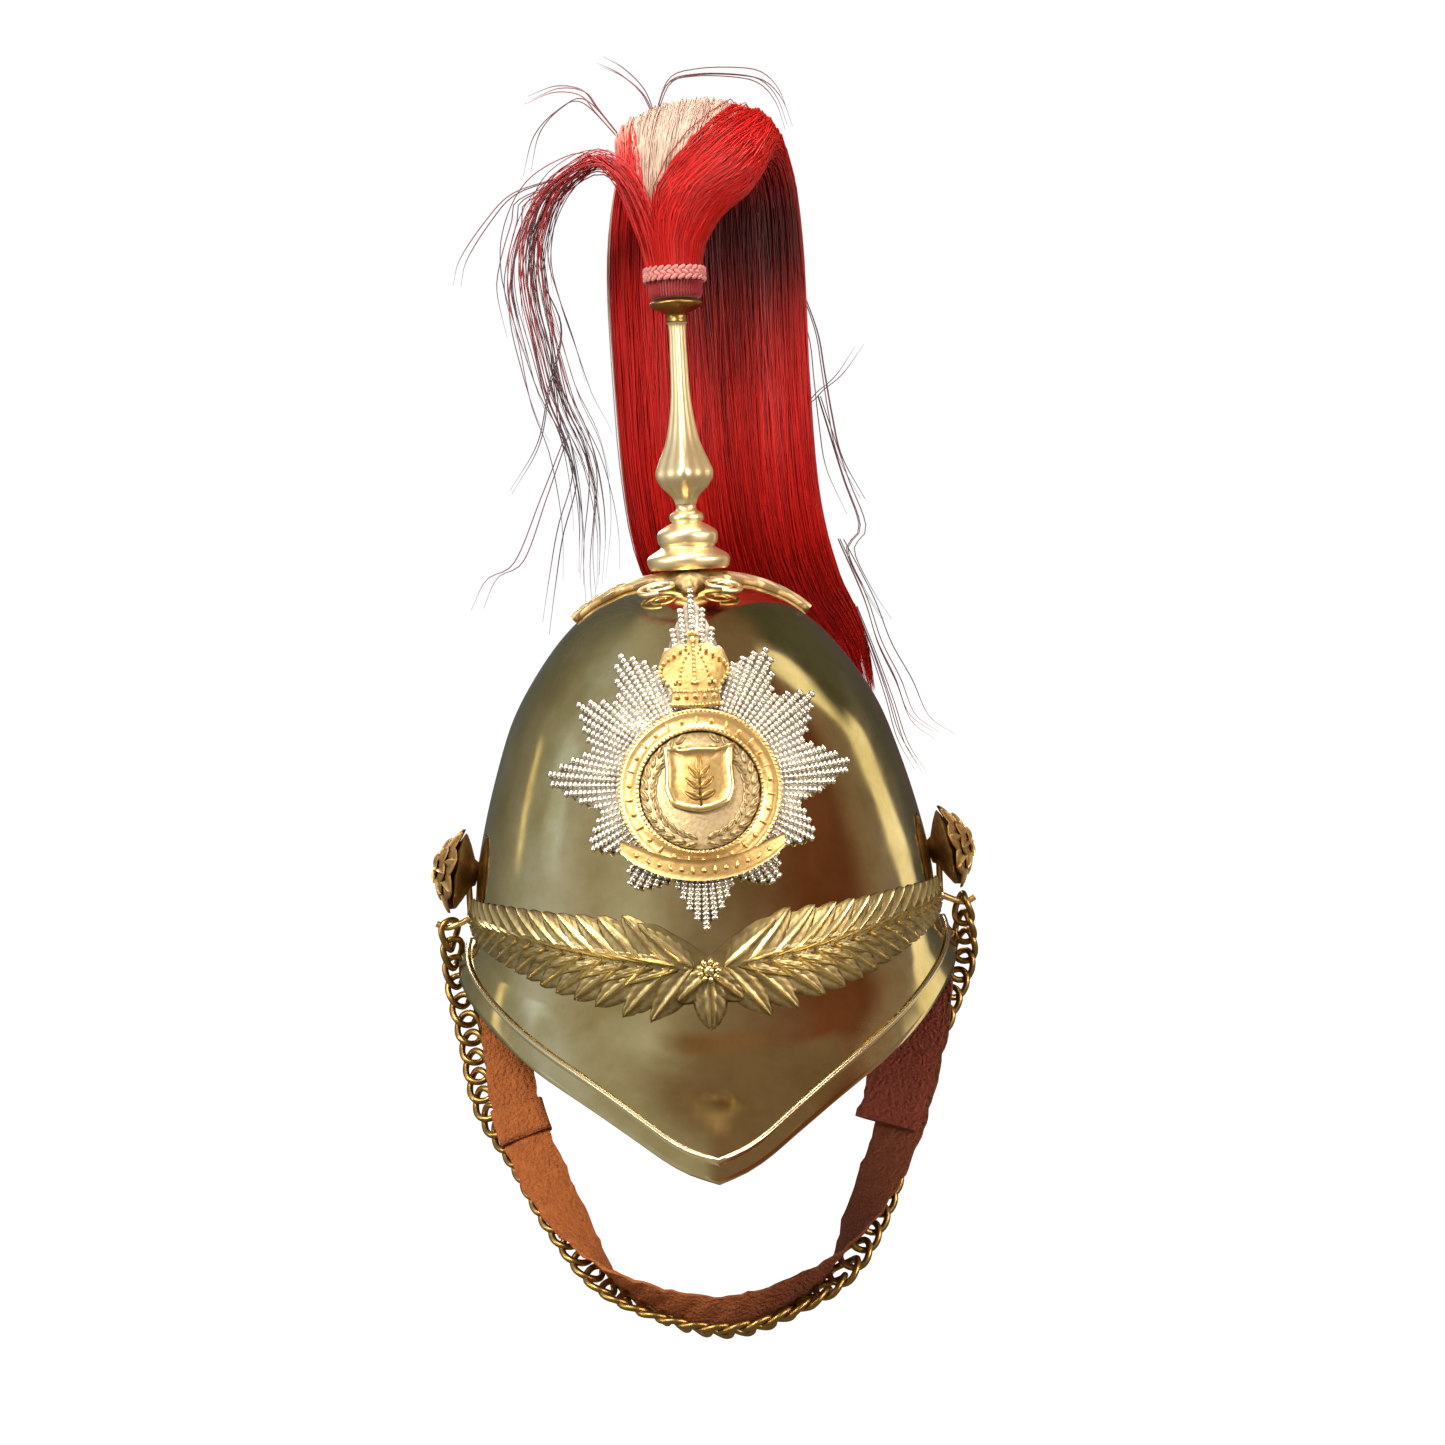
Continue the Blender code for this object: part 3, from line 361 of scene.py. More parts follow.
turns = [2 * math.pi * (k / SKULL_TURNS) - math.pi for k in range(SKULL_TURNS)]
flare_shares = np.concatenate([
    np.linspace(0, 1, FLARE_RINGS, endpoint=False),
    np.linspace(1, 2, BEAD_RINGS, endpoint=False),
    np.linspace(2, 3, RIM_RINGS),
])
bead_lifts = [
    BEAD_HEIGHT * math.sin(math.pi * min(max(share - 1, 0), 1)) ** 0.8 for share in flare_shares
]
columns = []
for turn in turns:
    flare, root = flare_row(turn, flare_shares, bead_lifts)
    seat = float(np.interp(root / SKULL_HEIGHT, DOME_LINE[:, 0], np.arange(len(DOME_LINE))))
    marks = len(DOME_LINE) - 1 - (len(DOME_LINE) - 1 - seat) * (np.arange(1, SKULL_RINGS) / SKULL_RINGS)
    heights = np.interp(marks, np.arange(len(DOME_LINE)), DOME_LINE[:, 0]) * SKULL_HEIGHT
    radii = np.interp(marks, np.arange(len(DOME_LINE)), DOME_LINE[:, 1]) * plan_radius(turn)
    dome = np.column_stack([radii * math.sin(turn), -radii * math.cos(turn), heights])
    column = np.vstack([dome, flare])
    joint = len(dome)
    for _ in range(EASE_PASSES):
        part = column[joint - EASE_REACH:joint + EASE_REACH + 1]
        eased_part = 0.25 * part[:-2] + 0.5 * part[1:-1] + 0.25 * part[2:]
        column[joint - EASE_REACH + 1:joint + EASE_REACH] = eased_part
    columns.append(column)
skull_grid = np.array(columns).transpose(1, 0, 2)
ring_count = len(skull_grid)
points = [(0, 0, SKULL_HEIGHT)] + list(skull_grid.reshape(-1, 3))
faces = [(0, 1 + k, 1 + (k + 1) % SKULL_TURNS) for k in range(SKULL_TURNS)]
faces += [tuple(1 + index for index in face) for face in grid_faces(ring_count, SKULL_TURNS, closed=True)]
skull = add_mesh("skull_shell", points, faces, polished_brass, sharp=50)
skull.data.materials.append(inner_brass)
wall = skull.modifiers.new("Wall", "SOLIDIFY")
wall.thickness = SKULL_WALL
wall.offset = -1
wall.material_offset = 1
wall.material_offset_rim = 0
keep_result(skull)
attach(skull, "root")
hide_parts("skull")


# Wreath. Two laurel branches of stamped brass, gilt and then rubbed, that follow the brow from a knot
# at the front to the bosses. Each leaf is veined; three small lobes hang under the knot.
WREATH_DROP = 0.0105
WREATH_SEAT = 0.0003
LEAF_RELIEF = 0.0017
LEAF_PAIRS = 16
LEAF_GRID = (17, 11)
KNOT_DROP = 0.0006
WREATH_SPAN = 72.0
LEAF_START = 3.0
INNER_START = 6.0
BRANCH = {
    "angle": [0, 6, 15, 41, 75, 90],
    "drop": [1.0, 0.94, 0.76, 0.24, 0.10, 0.10],
    "length": [0.026, 0.0275, 0.028, 0.0225, 0.0155, 0.014],
    "spread": [58, 48, 40, 34, 30, 30],
}


def relief_metal(name, light, dark, roughness, grain):
    """Stamped metal: rubbed bright on what stands up, and dark with old polish in its hollows; the same mix
    by depth also paints highlight on what stands up and shade in the hollows.
    """
    finish, tree, shader, coords = new_finish(name, 1.0, roughness)
    height = add_node(tree, "ShaderNodeAttribute", {"attribute_name": "depth"}).outputs["Fac"]
    wear = add_node(tree, "ShaderNodeTexNoise", {"Scale": grain, "Detail": 5.0}, {"Vector": coords})
    worn = add_node(
        tree, "ShaderNodeMath", {"operation": "MULTIPLY_ADD", 1: 0.7, 2: -0.35}, {0: wear.outputs[0]}
    )
    # Painted light over real wear: depth is high on raised relief and low in hollows, so this mix paints
    # highlight on the raised parts and shade in the hollows.
    rubbed_and_shaded = add_node(
        tree, "ShaderNodeMath", {"operation": "ADD", "use_clamp": True}, {0: height, 1: worn.outputs[0]}
    )
    tone = add_node(
        tree, "ShaderNodeMix", {"data_type": "RGBA", 6: srgb(dark), 7: srgb(light)}, {0: rubbed_and_shaded.outputs[0]}
    )
    tree.links.new(tone.outputs[2], shader.inputs["Base Color"])
    gloss = add_node(
        tree, "ShaderNodeMapRange",
        {"To Min": roughness + 0.25, "To Max": roughness}, {"Value": rubbed_and_shaded.outputs[0]},
    )
    tree.links.new(gloss.outputs[0], shader.inputs["Roughness"])
    bump = add_node(
        tree, "ShaderNodeBump", {"Strength": 0.35, "Distance": 0.0004}, {"Height": wear.outputs[0]}
    )
    tree.links.new(bump.outputs[0], shader.inputs["Normal"])
    return finish


def patch(rows, columns, sample):
    """A closed raised patch: sample(a, b) gives a top point, a base point and a depth."""
    cells = [sample(a, b) for a in np.linspace(0, 1, rows) for b in np.linspace(-1, 1, columns)]
    faces = grid_faces(rows, columns)
    rim = rim_of(rows, columns)
    start = len(cells)
    for k in range(len(rim)):
        following = (k + 1) % len(rim)
        faces.append((rim[following], rim[k], start + k, start + following))
    faces.append(tuple(start + k for k in range(len(rim))))
    points = [cell[0] for cell in cells] + [cells[index][1] for index in rim]
    depth = [cell[2] for cell in cells] + [0.0] * len(rim)
    return points, faces, depth


def stacked(parts):
    """Several patches as one list of points, of faces and of depths."""
    points, faces, depth = [], [], []
    for part in parts:
        start = len(points)
        points += list(part[0])
        faces += [tuple(start + index for index in face) for face in part[1]]
        depth += list(part[2])
    return points, faces, depth


def leaf_patch(
    place, length, width, relief, veins=6, base_width=0.12, point=0.75, tilt=0.0, grid=LEAF_GRID
):
    """A veined leaf; place(along, across, lift) puts its own lengths on what carries it."""
    def sample(a, b):
        swell = math.sin(math.pi * min(max(a, 0.0), 1.0) ** point) ** 0.62
        half = 0.5 * width * max(swell, base_width * (1 - a), 0.015)
        across = b * half
        crown = 1 - abs(b) ** 2.2
        rib = math.exp(-((b / 0.13) ** 2))
        vein = 0.5 + 0.5 * math.cos(2 * math.pi * (veins * a - 1.6 * abs(b)))
        hollow = math.exp(-(((abs(b) - 0.30) / 0.16) ** 2))
        high = 0.25 + 0.55 * crown + 0.40 * rib - 0.30 * hollow - 0.22 * (1 - vein) * (1 - rib)
        high *= 0.45 + 0.55 * math.sin(math.pi * min(0.15 + 0.85 * a, 1.0)) ** 0.6
        # depth follows the relief: rubbed wear plus painted highlight on rib and crown, painted shade in the
        # hollows and vein grooves.
        depth = min(max(0.15 + 0.9 * (high - 0.25), 0), 1)
        lift = relief * max(high, 0.05) + tilt * b
        return place(a * length, across, lift), place(a * length, across, 0.0), depth

    return patch(*grid, sample)


gilt_brass = relief_metal("stamped_gilt_brass", "EBD79C", "5E4A26", 0.26, 160.0)


def brow_place(turn, z, heading, side):
    """Puts lengths along and across a leaf on the brow; heading turns up from level."""
    start_radius = np.linalg.norm(dome_point(turn, z)[:2])

    def place(along, across, lift):
        ahead = along * math.cos(heading) - across * math.sin(heading)
        rise = along * math.sin(heading) + across * math.cos(heading)
        here = turn + side * ahead / start_radius
        return on_dome(here, z + rise, WREATH_SEAT + max(lift, 0.0))

    return place


leaves = []
for side in (-1, 1):
    for k in range(LEAF_PAIRS):
        degrees = LEAF_START + WREATH_SPAN * (k / (LEAF_PAIRS - 1)) ** 1.04
        turn = side * math.radians(degrees)
        stem_z = -WREATH_DROP * smooth_value(BRANCH["angle"], BRANCH["drop"], degrees)
        length = smooth_value(BRANCH["angle"], BRANCH["length"], degrees)
        spread = math.radians(smooth_value(BRANCH["angle"], BRANCH["spread"], degrees))
        lower = 0.86 if k > 1 else 0.95
        for up, share in ((1, 1.0), (-1, lower)):
            if k == 0 and up > 0:
                share = 0.72
            place = brow_place(turn, stem_z, up * spread * share, side)
            leaves.append(leaf_patch(place, length, 0.44 * length, LEAF_RELIEF, tilt=-0.0004 * up))
    for k in range(LEAF_PAIRS):
        degrees = INNER_START + WREATH_SPAN * (k / (LEAF_PAIRS - 1))
        turn = side * math.radians(degrees)
        stem_z = -WREATH_DROP * smooth_value(BRANCH["angle"], BRANCH["drop"], degrees)
        length = 0.80 * smooth_value(BRANCH["angle"], BRANCH["length"], degrees)
        for up in (1, -1):
            heading = up * math.radians(13) - math.radians(2)
            place = brow_place(turn, stem_z + up * 0.0008, heading, side)
            leaves.append(leaf_patch(place, length, 0.30 * length, 1.35 * LEAF_RELIEF, veins=5))
for lobe, length, width in ((-50, 0.0165, 0.0125), (50, 0.0165, 0.0125), (0, 0.0225, 0.0135)):
    heading = math.radians(-90 + lobe)
    place = brow_place(0.0, -WREATH_DROP - 0.0020, heading, 1)
    relief = LEAF_RELIEF * (2.1 if lobe == 0 else 1.8)
    leaves.append(leaf_patch(place, length, width, relief, veins=4, base_width=0.3))


GROUND = {
    "high_angle": [0, 4, 10, 20, 60, 82],
    "high": [-0.006, 0.0, 0.0070, 0.0088, 0.0092, 0.0055],
    "low_angle": [0, 10, 20, 40, 60, 82],
    "low": [-0.024, -0.0225, -0.0215, -0.0160, -0.0105, -0.0070],
}


def ground_sample(a, b):
    """The stamped sheet that the leaves stand on, a little inside their tips, coloured dark as painted shade
    between the leaves.
    """
    degrees = 164 * (a - 0.5)
    high = np.interp(abs(degrees), GROUND["high_angle"], GROUND["high"])
    low = np.interp(abs(degrees), GROUND["low_angle"], GROUND["low"])
    turn, z = math.radians(degrees), (high + low) / 2 + b * (high - low) / 2
    return on_dome(turn, z, WREATH_SEAT + 0.0004), on_dome(turn, z, WREATH_SEAT), 0.22


leaves.append(patch(121, 7, ground_sample))
points, faces, depth = stacked(leaves)
wreath = add_mesh("wreath_leaves", points, faces, gilt_brass, sharp=70, depth=depth)
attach(wreath, "root")
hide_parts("wreath")


# Bead. The top of the half-round bead in the skull's sheet. It stands proud, so years of polishing have
# rubbed it brighter than the rest; its pale colour is also a painted highlight along the line of the bead.
BEAD_TOP = 0.0011
BEAD_LOW = 0.0006
BEAD_HIGH = 0.0016
BEAD_MIDDLE = 1.5
BEAD_SIDES = 10
bead_brass = relief_metal("rubbed_bead_brass", "FBEBC0", "B8975A", 0.24, 90.0)
middles = np.array([flare_row(turn, [BEAD_MIDDLE], [BEAD_LOW])[0][0] for turn in turns])
outers = np.array([flare_row(turn, [BEAD_MIDDLE], [BEAD_HIGH])[0][0] for turn in turns])
loop = []
for k in range(SKULL_TURNS):
    along = unit(middles[(k + 1) % SKULL_TURNS] - middles[k - 1])
    lifted = unit(outers[k] - middles[k])
    across = np.cross(along, lifted)
    for c in range(BEAD_SIDES):
        turn = 2 * math.pi * c / BEAD_SIDES
        loop.append(middles[k] + BEAD_TOP * (math.cos(turn) * lifted + math.sin(turn) * across))
faces = looped_faces(SKULL_TURNS, BEAD_SIDES)
bead = add_mesh("skull_bead", loop, faces, bead_brass, sharp=80, depth=[1.0] * len(loop))
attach(bead, "root")


# Knot. A bud in a collar of pellets, soldered where the two branches meet.
KNOT_RADIUS = 0.0034
KNOT_PELLETS = 9


def run_tree(holder, tree, inputs):
    """Runs a node tree on an object and keeps what it makes as a plain mesh."""
    modifier = holder.modifiers.new("Grow", "NODES")
    modifier.node_group = tree
    for socket in tree.interface.items_tree:
        if socket.in_out == "INPUT" and socket.name in inputs:
            modifier[socket.identifier] = inputs[socket.name]
    keep_result(holder)
    holder.data.name = holder.name


def new_tree(name, inputs):
    """A geometry node tree with named inputs; returns it with its input and output nodes."""
    tree = bpy.data.node_groups.new(name, "GeometryNodeTree")
    tree.interface.new_socket("Geometry", in_out="INPUT", socket_type="NodeSocketGeometry")
    for label, kind in inputs.items():
        tree.interface.new_socket(label, in_out="INPUT", socket_type=kind)
    tree.interface.new_socket("Geometry", in_out="OUTPUT", socket_type="NodeSocketGeometry")
    return tree, add_node(tree, "NodeGroupInput"), add_node(tree, "NodeGroupOutput")


def repeat_on_points(name, template, spots, finish):
    """Copies of a template as one plain mesh; each spot is a place, Euler angles and three sizes."""
    places, turns, sizes = zip(*spots)
    carrier = bpy.data.meshes.new(name)
    carrier.from_pydata([tuple(map(float, place)) for place in places], [], [])
    for label, values in (("turn", turns), ("stretch", sizes)):
        layer = carrier.attributes.new(label, "FLOAT_VECTOR", "POINT")
        layer.data.foreach_set("vector", np.asarray(values, np.float32).ravel())
    holder = bpy.data.objects.new(name, carrier)
    bpy.context.collection.objects.link(holder)
    tree, given, result = new_tree(
        name, {"Template": "NodeSocketObject", "Finish": "NodeSocketMaterial"}
    )
    shape = add_node(tree, "GeometryNodeObjectInfo", None, {"Object": given.outputs["Template"]})
    turn, stretch = (
        add_node(tree, "GeometryNodeInputNamedAttribute", {"data_type": "FLOAT_VECTOR", "Name": label})
        for label in ("turn", "stretch")
    )
    copies = add_node(
        tree, "GeometryNodeInstanceOnPoints", None,
        {"Points": given.outputs[0], "Instance": shape.outputs["Geometry"],
         "Rotation": turn.outputs[0], "Scale": stretch.outputs[0]},
    )
    real = add_node(tree, "GeometryNodeRealizeInstances", None, {0: copies.outputs[0]})
    dressed = add_node(
        tree, "GeometryNodeSetMaterial", None,
        {0: real.outputs[0], "Material": given.outputs["Finish"]},
    )
    tree.links.new(dressed.outputs[0], result.inputs[0])
    run_tree(holder, tree, {"Template": template, "Finish": finish})
    bpy.data.objects.remove(template)
    return holder


def ball(name, sides, rings, finish):
    """A small closed ball of radius 1, as the template of beads and pellets."""
    points = [(0, 0, 1)]
    for r in range(1, rings):
        tilt = math.pi * r / rings
        for c in range(sides):
            turn = 2 * math.pi * c / sides
            points.append((math.sin(tilt) * math.cos(turn), math.sin(tilt) * math.sin(turn), math.cos(tilt)))
    points.append((0, 0, -1))
    last = len(points) - 1
    faces = [(0, 1 + c, 1 + (c + 1) % sides) for c in range(sides)]
    faces += [tuple(1 + index for index in face) for face in grid_faces(rings - 1, sides, closed=True)]
    faces += [(last, last - sides + (c + 1) % sides, last - sides + c) for c in range(sides)]
    return add_mesh(name, points, faces, finish, sharp=80, depth=[1.0] * len(points))


def euler_of(ahead, outward):
    """Euler angles that turn X along ahead and Z along outward."""
    x = unit(np.asarray(ahead, float))
    z = unit(outward - np.dot(outward, x) * x)
    y = np.cross(z, x)
    return tuple(Matrix(np.column_stack([x, y, z]).tolist()).to_euler())


def front_frame(x, z, heading, lift):
    """A place on the dome's front, and the angles that turn X along a heading seen from the front."""
    step = 0.0005
    place = on_front(x, z, lift)
    ahead = on_front(x + step * math.cos(heading), z + step * math.sin(heading), lift) - place
    outward = on_front(x, z, lift + step) - place
    return place, euler_of(ahead, outward)


knot_z = -WREATH_DROP - KNOT_DROP
bud_size = (KNOT_RADIUS * 0.62, KNOT_RADIUS * 0.62, 0.0016)
spots = [(*front_frame(0.0, knot_z, 0.0, 0.0036), bud_size)]
for k in range(KNOT_PELLETS):
    heading = 2 * math.pi * k / KNOT_PELLETS
    x, z = KNOT_RADIUS * math.cos(heading), knot_z + KNOT_RADIUS * math.sin(heading)
    spots.append((*front_frame(x, z, heading, 0.0032), (0.0015, 0.0011, 0.0013)))
knot = repeat_on_points("wreath_knot", ball("bud", 10, 7, gilt_brass), spots, gilt_brass)
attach(knot, "root")


# Star. A silver-plated star of twelve points, stamped as a sheaf of cut rods that run out from the
# middle. Each rod is a row of facets, so it glitters in steps.
STAR_HEIGHT = 0.0585
STAR_REACH = 0.0700
STAR_VALLEY = 0.78
STAR_SEAT = 0.0013
STAR_TOP_CLEAR = 0.0023
STAR_POINTS = {
    "angle": [90, 59, 34, 2, -29, -54, -90],
    "reach": [1.0, 0.80, 0.775, 0.85, 0.70, 0.68, 0.775],
}
ROD_COUNT = 96
ROD_PITCH = 0.00175
ROD_START = 0.0215
silver = relief_metal("stamped_silver_plate", "F5EFE2", "6E6458", 0.26, 260.0)


def star_lift(z):
    """How far the star stands off the dome: it rises where the dome curves away under its top."""
    return STAR_SEAT + STAR_TOP_CLEAR * max((z - STAR_HEIGHT) / STAR_REACH, 0) ** 2


angles_round = STAR_POINTS["angle"] + [180 - a for a in STAR_POINTS["angle"][-2:0:-1]]
reaches_round = STAR_POINTS["reach"] + STAR_POINTS["reach"][-2:0:-1]
outline_angle, outline_reach = [], []
for k, angle in enumerate(angles_round):
    following = angles_round[(k + 1) % len(angles_round)]
    while following > angle:
        following -= 360
    lower = min(reaches_round[k], reaches_round[(k + 1) % len(angles_round)])
    outline_angle += [angle, (angle + following) / 2]
    outline_reach += [reaches_round[k] * STAR_REACH, STAR_VALLEY * lower * STAR_REACH]
order = np.argsort(np.mod(outline_angle, 360))
outline_angle = np.mod(np.array(outline_angle), 360)[order]
outline_reach = np.array(outline_reach)[order]


def star_reach(degrees):
    return float(np.interp(degrees % 360, outline_angle, outline_reach, period=360))


def near_tip(degrees):
    """1 on the middle line of the nearest point, falling to 0 between two points."""
    gaps = [abs((degrees - a + 180) % 360 - 180) for a in angles_round]
    return max(1 - min(gaps) / 14.0, 0)


spots = []
for k in range(ROD_COUNT):
    degrees = 90 + 360 * k / ROD_COUNT
    heading = math.radians(degrees)
    reach = star_reach(degrees) - 0.0008
    count = int((reach - ROD_START) / ROD_PITCH)
    for j in range(count + 1):
        radius = ROD_START + j * (reach - ROD_START) / max(count, 1)
        x, z = radius * math.cos(heading), STAR_HEIGHT + radius * math.sin(heading)
        width = radius * math.radians(360 / ROD_COUNT) * 0.5
        width = min(max(1.08 * width, 0.00085), 0.00165)
        ridge = 0.0009 + 0.0010 * near_tip(degrees)
        size = (0.64 * ROD_PITCH, width, 0.00125)
        spots.append((*front_frame(x, z, heading, star_lift(z) + ridge), size))
star_rods = repeat_on_points("star_rods", ball("facet", 8, 4, silver), spots, silver)
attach(star_rods, "root")

# The sheet behind the rods, given a low depth: dark as tarnish and as painted shade under the rods
STAR_STEPS = 144
SHEET_FACE = 0.0016
SHEET_EDGE = 0.0009


def star_sheet(ring, k, lift):
    degrees = 90 + 360 * k / STAR_STEPS
    radius = ring * (star_reach(degrees) - 0.0010)
    x = radius * math.cos(math.radians(degrees))
    z = STAR_HEIGHT + radius * math.sin(math.radians(degrees))
    return on_front(x, z, star_lift(z) + lift)


def disc_faces(rings, sides):
    """Faces of a centre point followed by rings of points around it."""
    faces = [(0, 1 + k, 1 + (k + 1) % sides) for k in range(sides)]
    return faces + [tuple(1 + index for index in face) for face in grid_faces(rings, sides, closed=True)]


def closed_disc(rings, sides):
    """Faces of two such discs, one over the other, and of the edge between them."""
    faces = disc_faces(rings, sides)
    count = 1 + rings * sides
    edge = count - sides
    faces += [tuple(count + index for index in reversed(face)) for face in faces]
    for k in range(sides):
        n = (k + 1) % sides
        faces.append((edge + k, edge + n, count + edge + n, count + edge + k))
    return faces


rings = (0.25, 0.5, 0.72, 0.86, 1.0)
points = []
for face_lift, edge_lift in ((SHEET_FACE, SHEET_EDGE), (0, 0)):
    points.append(on_front(0, STAR_HEIGHT, STAR_SEAT + face_lift))
    for ring in rings:
        lift = face_lift if ring < 1 else edge_lift
        points += [star_sheet(ring, k, lift) for k in range(STAR_STEPS)]
faces = closed_disc(len(rings), STAR_STEPS)
star_plate = add_mesh("star_backing", points, faces, silver, depth=[0.1] * len(points))
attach(star_plate, "root")
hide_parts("star_plate")


# Ring. A gilt band round the star's middle, with a raised edge on both sides and a row of pellets
# and small bars between them.
RING_MIDDLE = STAR_HEIGHT - 0.0035
RING_OUTER = 0.0295
RING_INNER = 0.0220
RING_SEAT = 0.0033
RING_THICK = 0.0018
badge_gilt = relief_metal("fire_gilt_brass", "F2CF8C", "7E5A2C", 0.30, 420.0)


def badge_place(x, z, lift):
    level = RING_MIDDLE + z
    return on_front(x, level, star_lift(level) + RING_SEAT + lift)


def turned_band(inner, outer, steps, thick, profile):
    """A closed flat band round the badge's middle, with a profile of its own across it."""
    marks = np.linspace(0, 1, len(profile))
    points, depth = [], []
    for share, height in zip(marks, profile):
        radius = inner + share * (outer - inner)
        for k in range(steps):
            turn = 2 * math.pi * k / steps
            points.append(badge_place(radius * math.cos(turn), radius * math.sin(turn), thick * height))
            depth.append(height)
    top = len(points)
    for radius in (inner, outer):
        for k in range(steps):
            turn = 2 * math.pi * k / steps
            points.append(badge_place(radius * math.cos(turn), radius * math.sin(turn), 0.0))
            depth.append(0.0)
    faces = grid_faces(len(profile), steps, closed=True)
    last = (len(profile) - 1) * steps
    for k in range(steps):
        n = (k + 1) % steps
        faces.append((k, n, top + n, top + k))
        faces.append((last + n, last + k, top + steps + k, top + steps + n))
        faces.append((top + k, top + n, top + steps + n, top + steps + k))
    return points, faces, depth


# Heights across the band, also used as its depth: rubbed wear plus painted highlight on the raised edges and
# painted shade in the groove.
RING_PROFILE = [0.9, 1.0, 0.9, 0.62, 0.55, 0.55, 0.62, 0.9, 1.0, 0.8]
band = turned_band(RING_INNER, RING_OUTER, 96, RING_THICK, RING_PROFILE)
ring = add_mesh("star_ring_band", *band[:2], badge_gilt, sharp=60, depth=band[2])
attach(ring, "root")
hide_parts("star_ring")

RING_PELLETS = 30
EDGE_INSET = 0.0006
EDGE_PELLET = (0.0007, 0.0007, 0.0007)


def badge_frame(x, z, heading, lift):
    """The place that badge_place gives, and the angles that turn X along a heading there."""
    level = RING_MIDDLE + z
    return front_frame(x, level, heading, star_lift(level) + RING_SEAT + lift)


spots = []
for k in range(RING_PELLETS):
    heading = 2 * math.pi * (k + 0.5) / RING_PELLETS
    radius = (RING_INNER + RING_OUTER) / 2
    x, z = radius * math.cos(heading), radius * math.sin(heading)
    size = (0.0017, 0.00062, 0.0009) if k % 2 else (0.00105, 0.00105, 0.0011)
    spots.append((*badge_frame(x, z, heading, 0.72 * RING_THICK), size))
for radius, count in ((RING_INNER + EDGE_INSET, 84), (RING_OUTER - EDGE_INSET, 112)):
    for k in range(count):
        heading = 2 * math.pi * k / count
        x, z = radius * math.cos(heading), radius * math.sin(heading)
        spots.append((*badge_frame(x, z, heading, 0.98 * RING_THICK), EDGE_PELLET))
pellets = repeat_on_points("ring_pellets", ball("pellet", 8, 5, badge_gilt), spots, badge_gilt)
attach(pellets, "root")


# Field. A thin gilt disc inside the ring, stippled, with a wreath of small leaves near its edge that
# frames the shield. It is paler than the ring, where the gilding is thin over silver.
FIELD_RADIUS = RING_INNER - 0.0006
FIELD_THICK = 0.0009
FIELD_SIDES = 72
pale_gilt = relief_metal("thin_gilt_over_silver", "EEDDB6", "8B7248", 0.34, 700.0)
field_rings = (0.3, 0.6, 0.85, 1.0)
points, depth = [], []
# The face has middling depth and its outer rim none: darker at the rim as painted shade where the disc meets
# the ring.
for lift, tone in ((FIELD_THICK, 0.35), (0.0, 0.0)):
    points.append(badge_place(0, 0, lift))
    depth.append(tone)
    for share in field_rings:
        radius = share * FIELD_RADIUS
        for k in range(FIELD_SIDES):
            turn = 2 * math.pi * k / FIELD_SIDES
            points.append(badge_place(radius * math.cos(turn), radius * math.sin(turn), lift))
            depth.append(tone if share < 1 else 0.0)
faces = closed_disc(len(field_rings), FIELD_SIDES)
field = add_mesh("star_field_disc", points, faces, pale_gilt, depth=depth)
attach(field, "root")
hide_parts("star_field")


def badge_leaf_place(x, z, heading, lift):
    def place(along, across, high):
        return badge_place(
            x + along * math.cos(heading) - across * math.sin(heading),
            z + along * math.sin(heading) + across * math.cos(heading),
            lift + high,
        )

    return place


SMALL_LEAF_GRID = (9, 7)
leaves = []
for side in (-1, 1):
    for k in range(13):
        degrees = -84 + 150 * k / 12
        turn = math.radians(degrees)
        for radius, lean, length in ((0.0176, 24, 0.0056), (0.0192, -20, 0.0052)):
            x, z = side * radius * math.cos(turn), radius * math.sin(turn)
            heading = turn + math.pi / 2 + math.radians(lean)
            if side < 0:
                heading = math.pi - heading
            place = badge_leaf_place(x, z, heading, FIELD_THICK)
            leaves.append(leaf_patch(place, length, 0.0024, 0.0011, veins=2, grid=SMALL_LEAF_GRID))
points, faces, depth = stacked(leaves)
field_leaves = add_mesh("field_leaves", points, faces, pale_gilt, sharp=70, depth=depth)
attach(field_leaves, "root")


# Shield. A gilt plate with a raised rim, set on the field. Its ground is matted, and a sprig of
# seven leaves stands on it.
SHIELD_RISE = 0.0045
SHIELD_WIDTH = 0.0250
SHIELD_HEIGHT = 0.0250
SHIELD = {
    "x": [0.0, 0.28, 0.5, 0.48, 0.50, 0.42, 0.22, 0.0],
    "z": [0.46, 0.44, 0.5, 0.20, -0.16, -0.38, -0.46, -0.5],
}
bright_gilt = relief_metal("bright_fire_gilt", "F6DC9C", "8A652E", 0.28, 520.0)


def mirrored(table, count):
    """Both halves of an outline, evenly stepped, from the middle of its foot round to its start."""
    right = list(zip(table["x"], table["z"]))[::-1]
    left = [(-x, z) for x, z in right[::-1][1:-1]]
    whole = np.array(right + left + right[:1])
    marks = np.concatenate([[0], np.cumsum(np.linalg.norm(np.diff(whole, axis=0), axis=1))])
    steps = np.linspace(0, marks[-1], count, endpoint=False)
    return np.column_stack([np.interp(steps, marks, column) for column in whole.T])


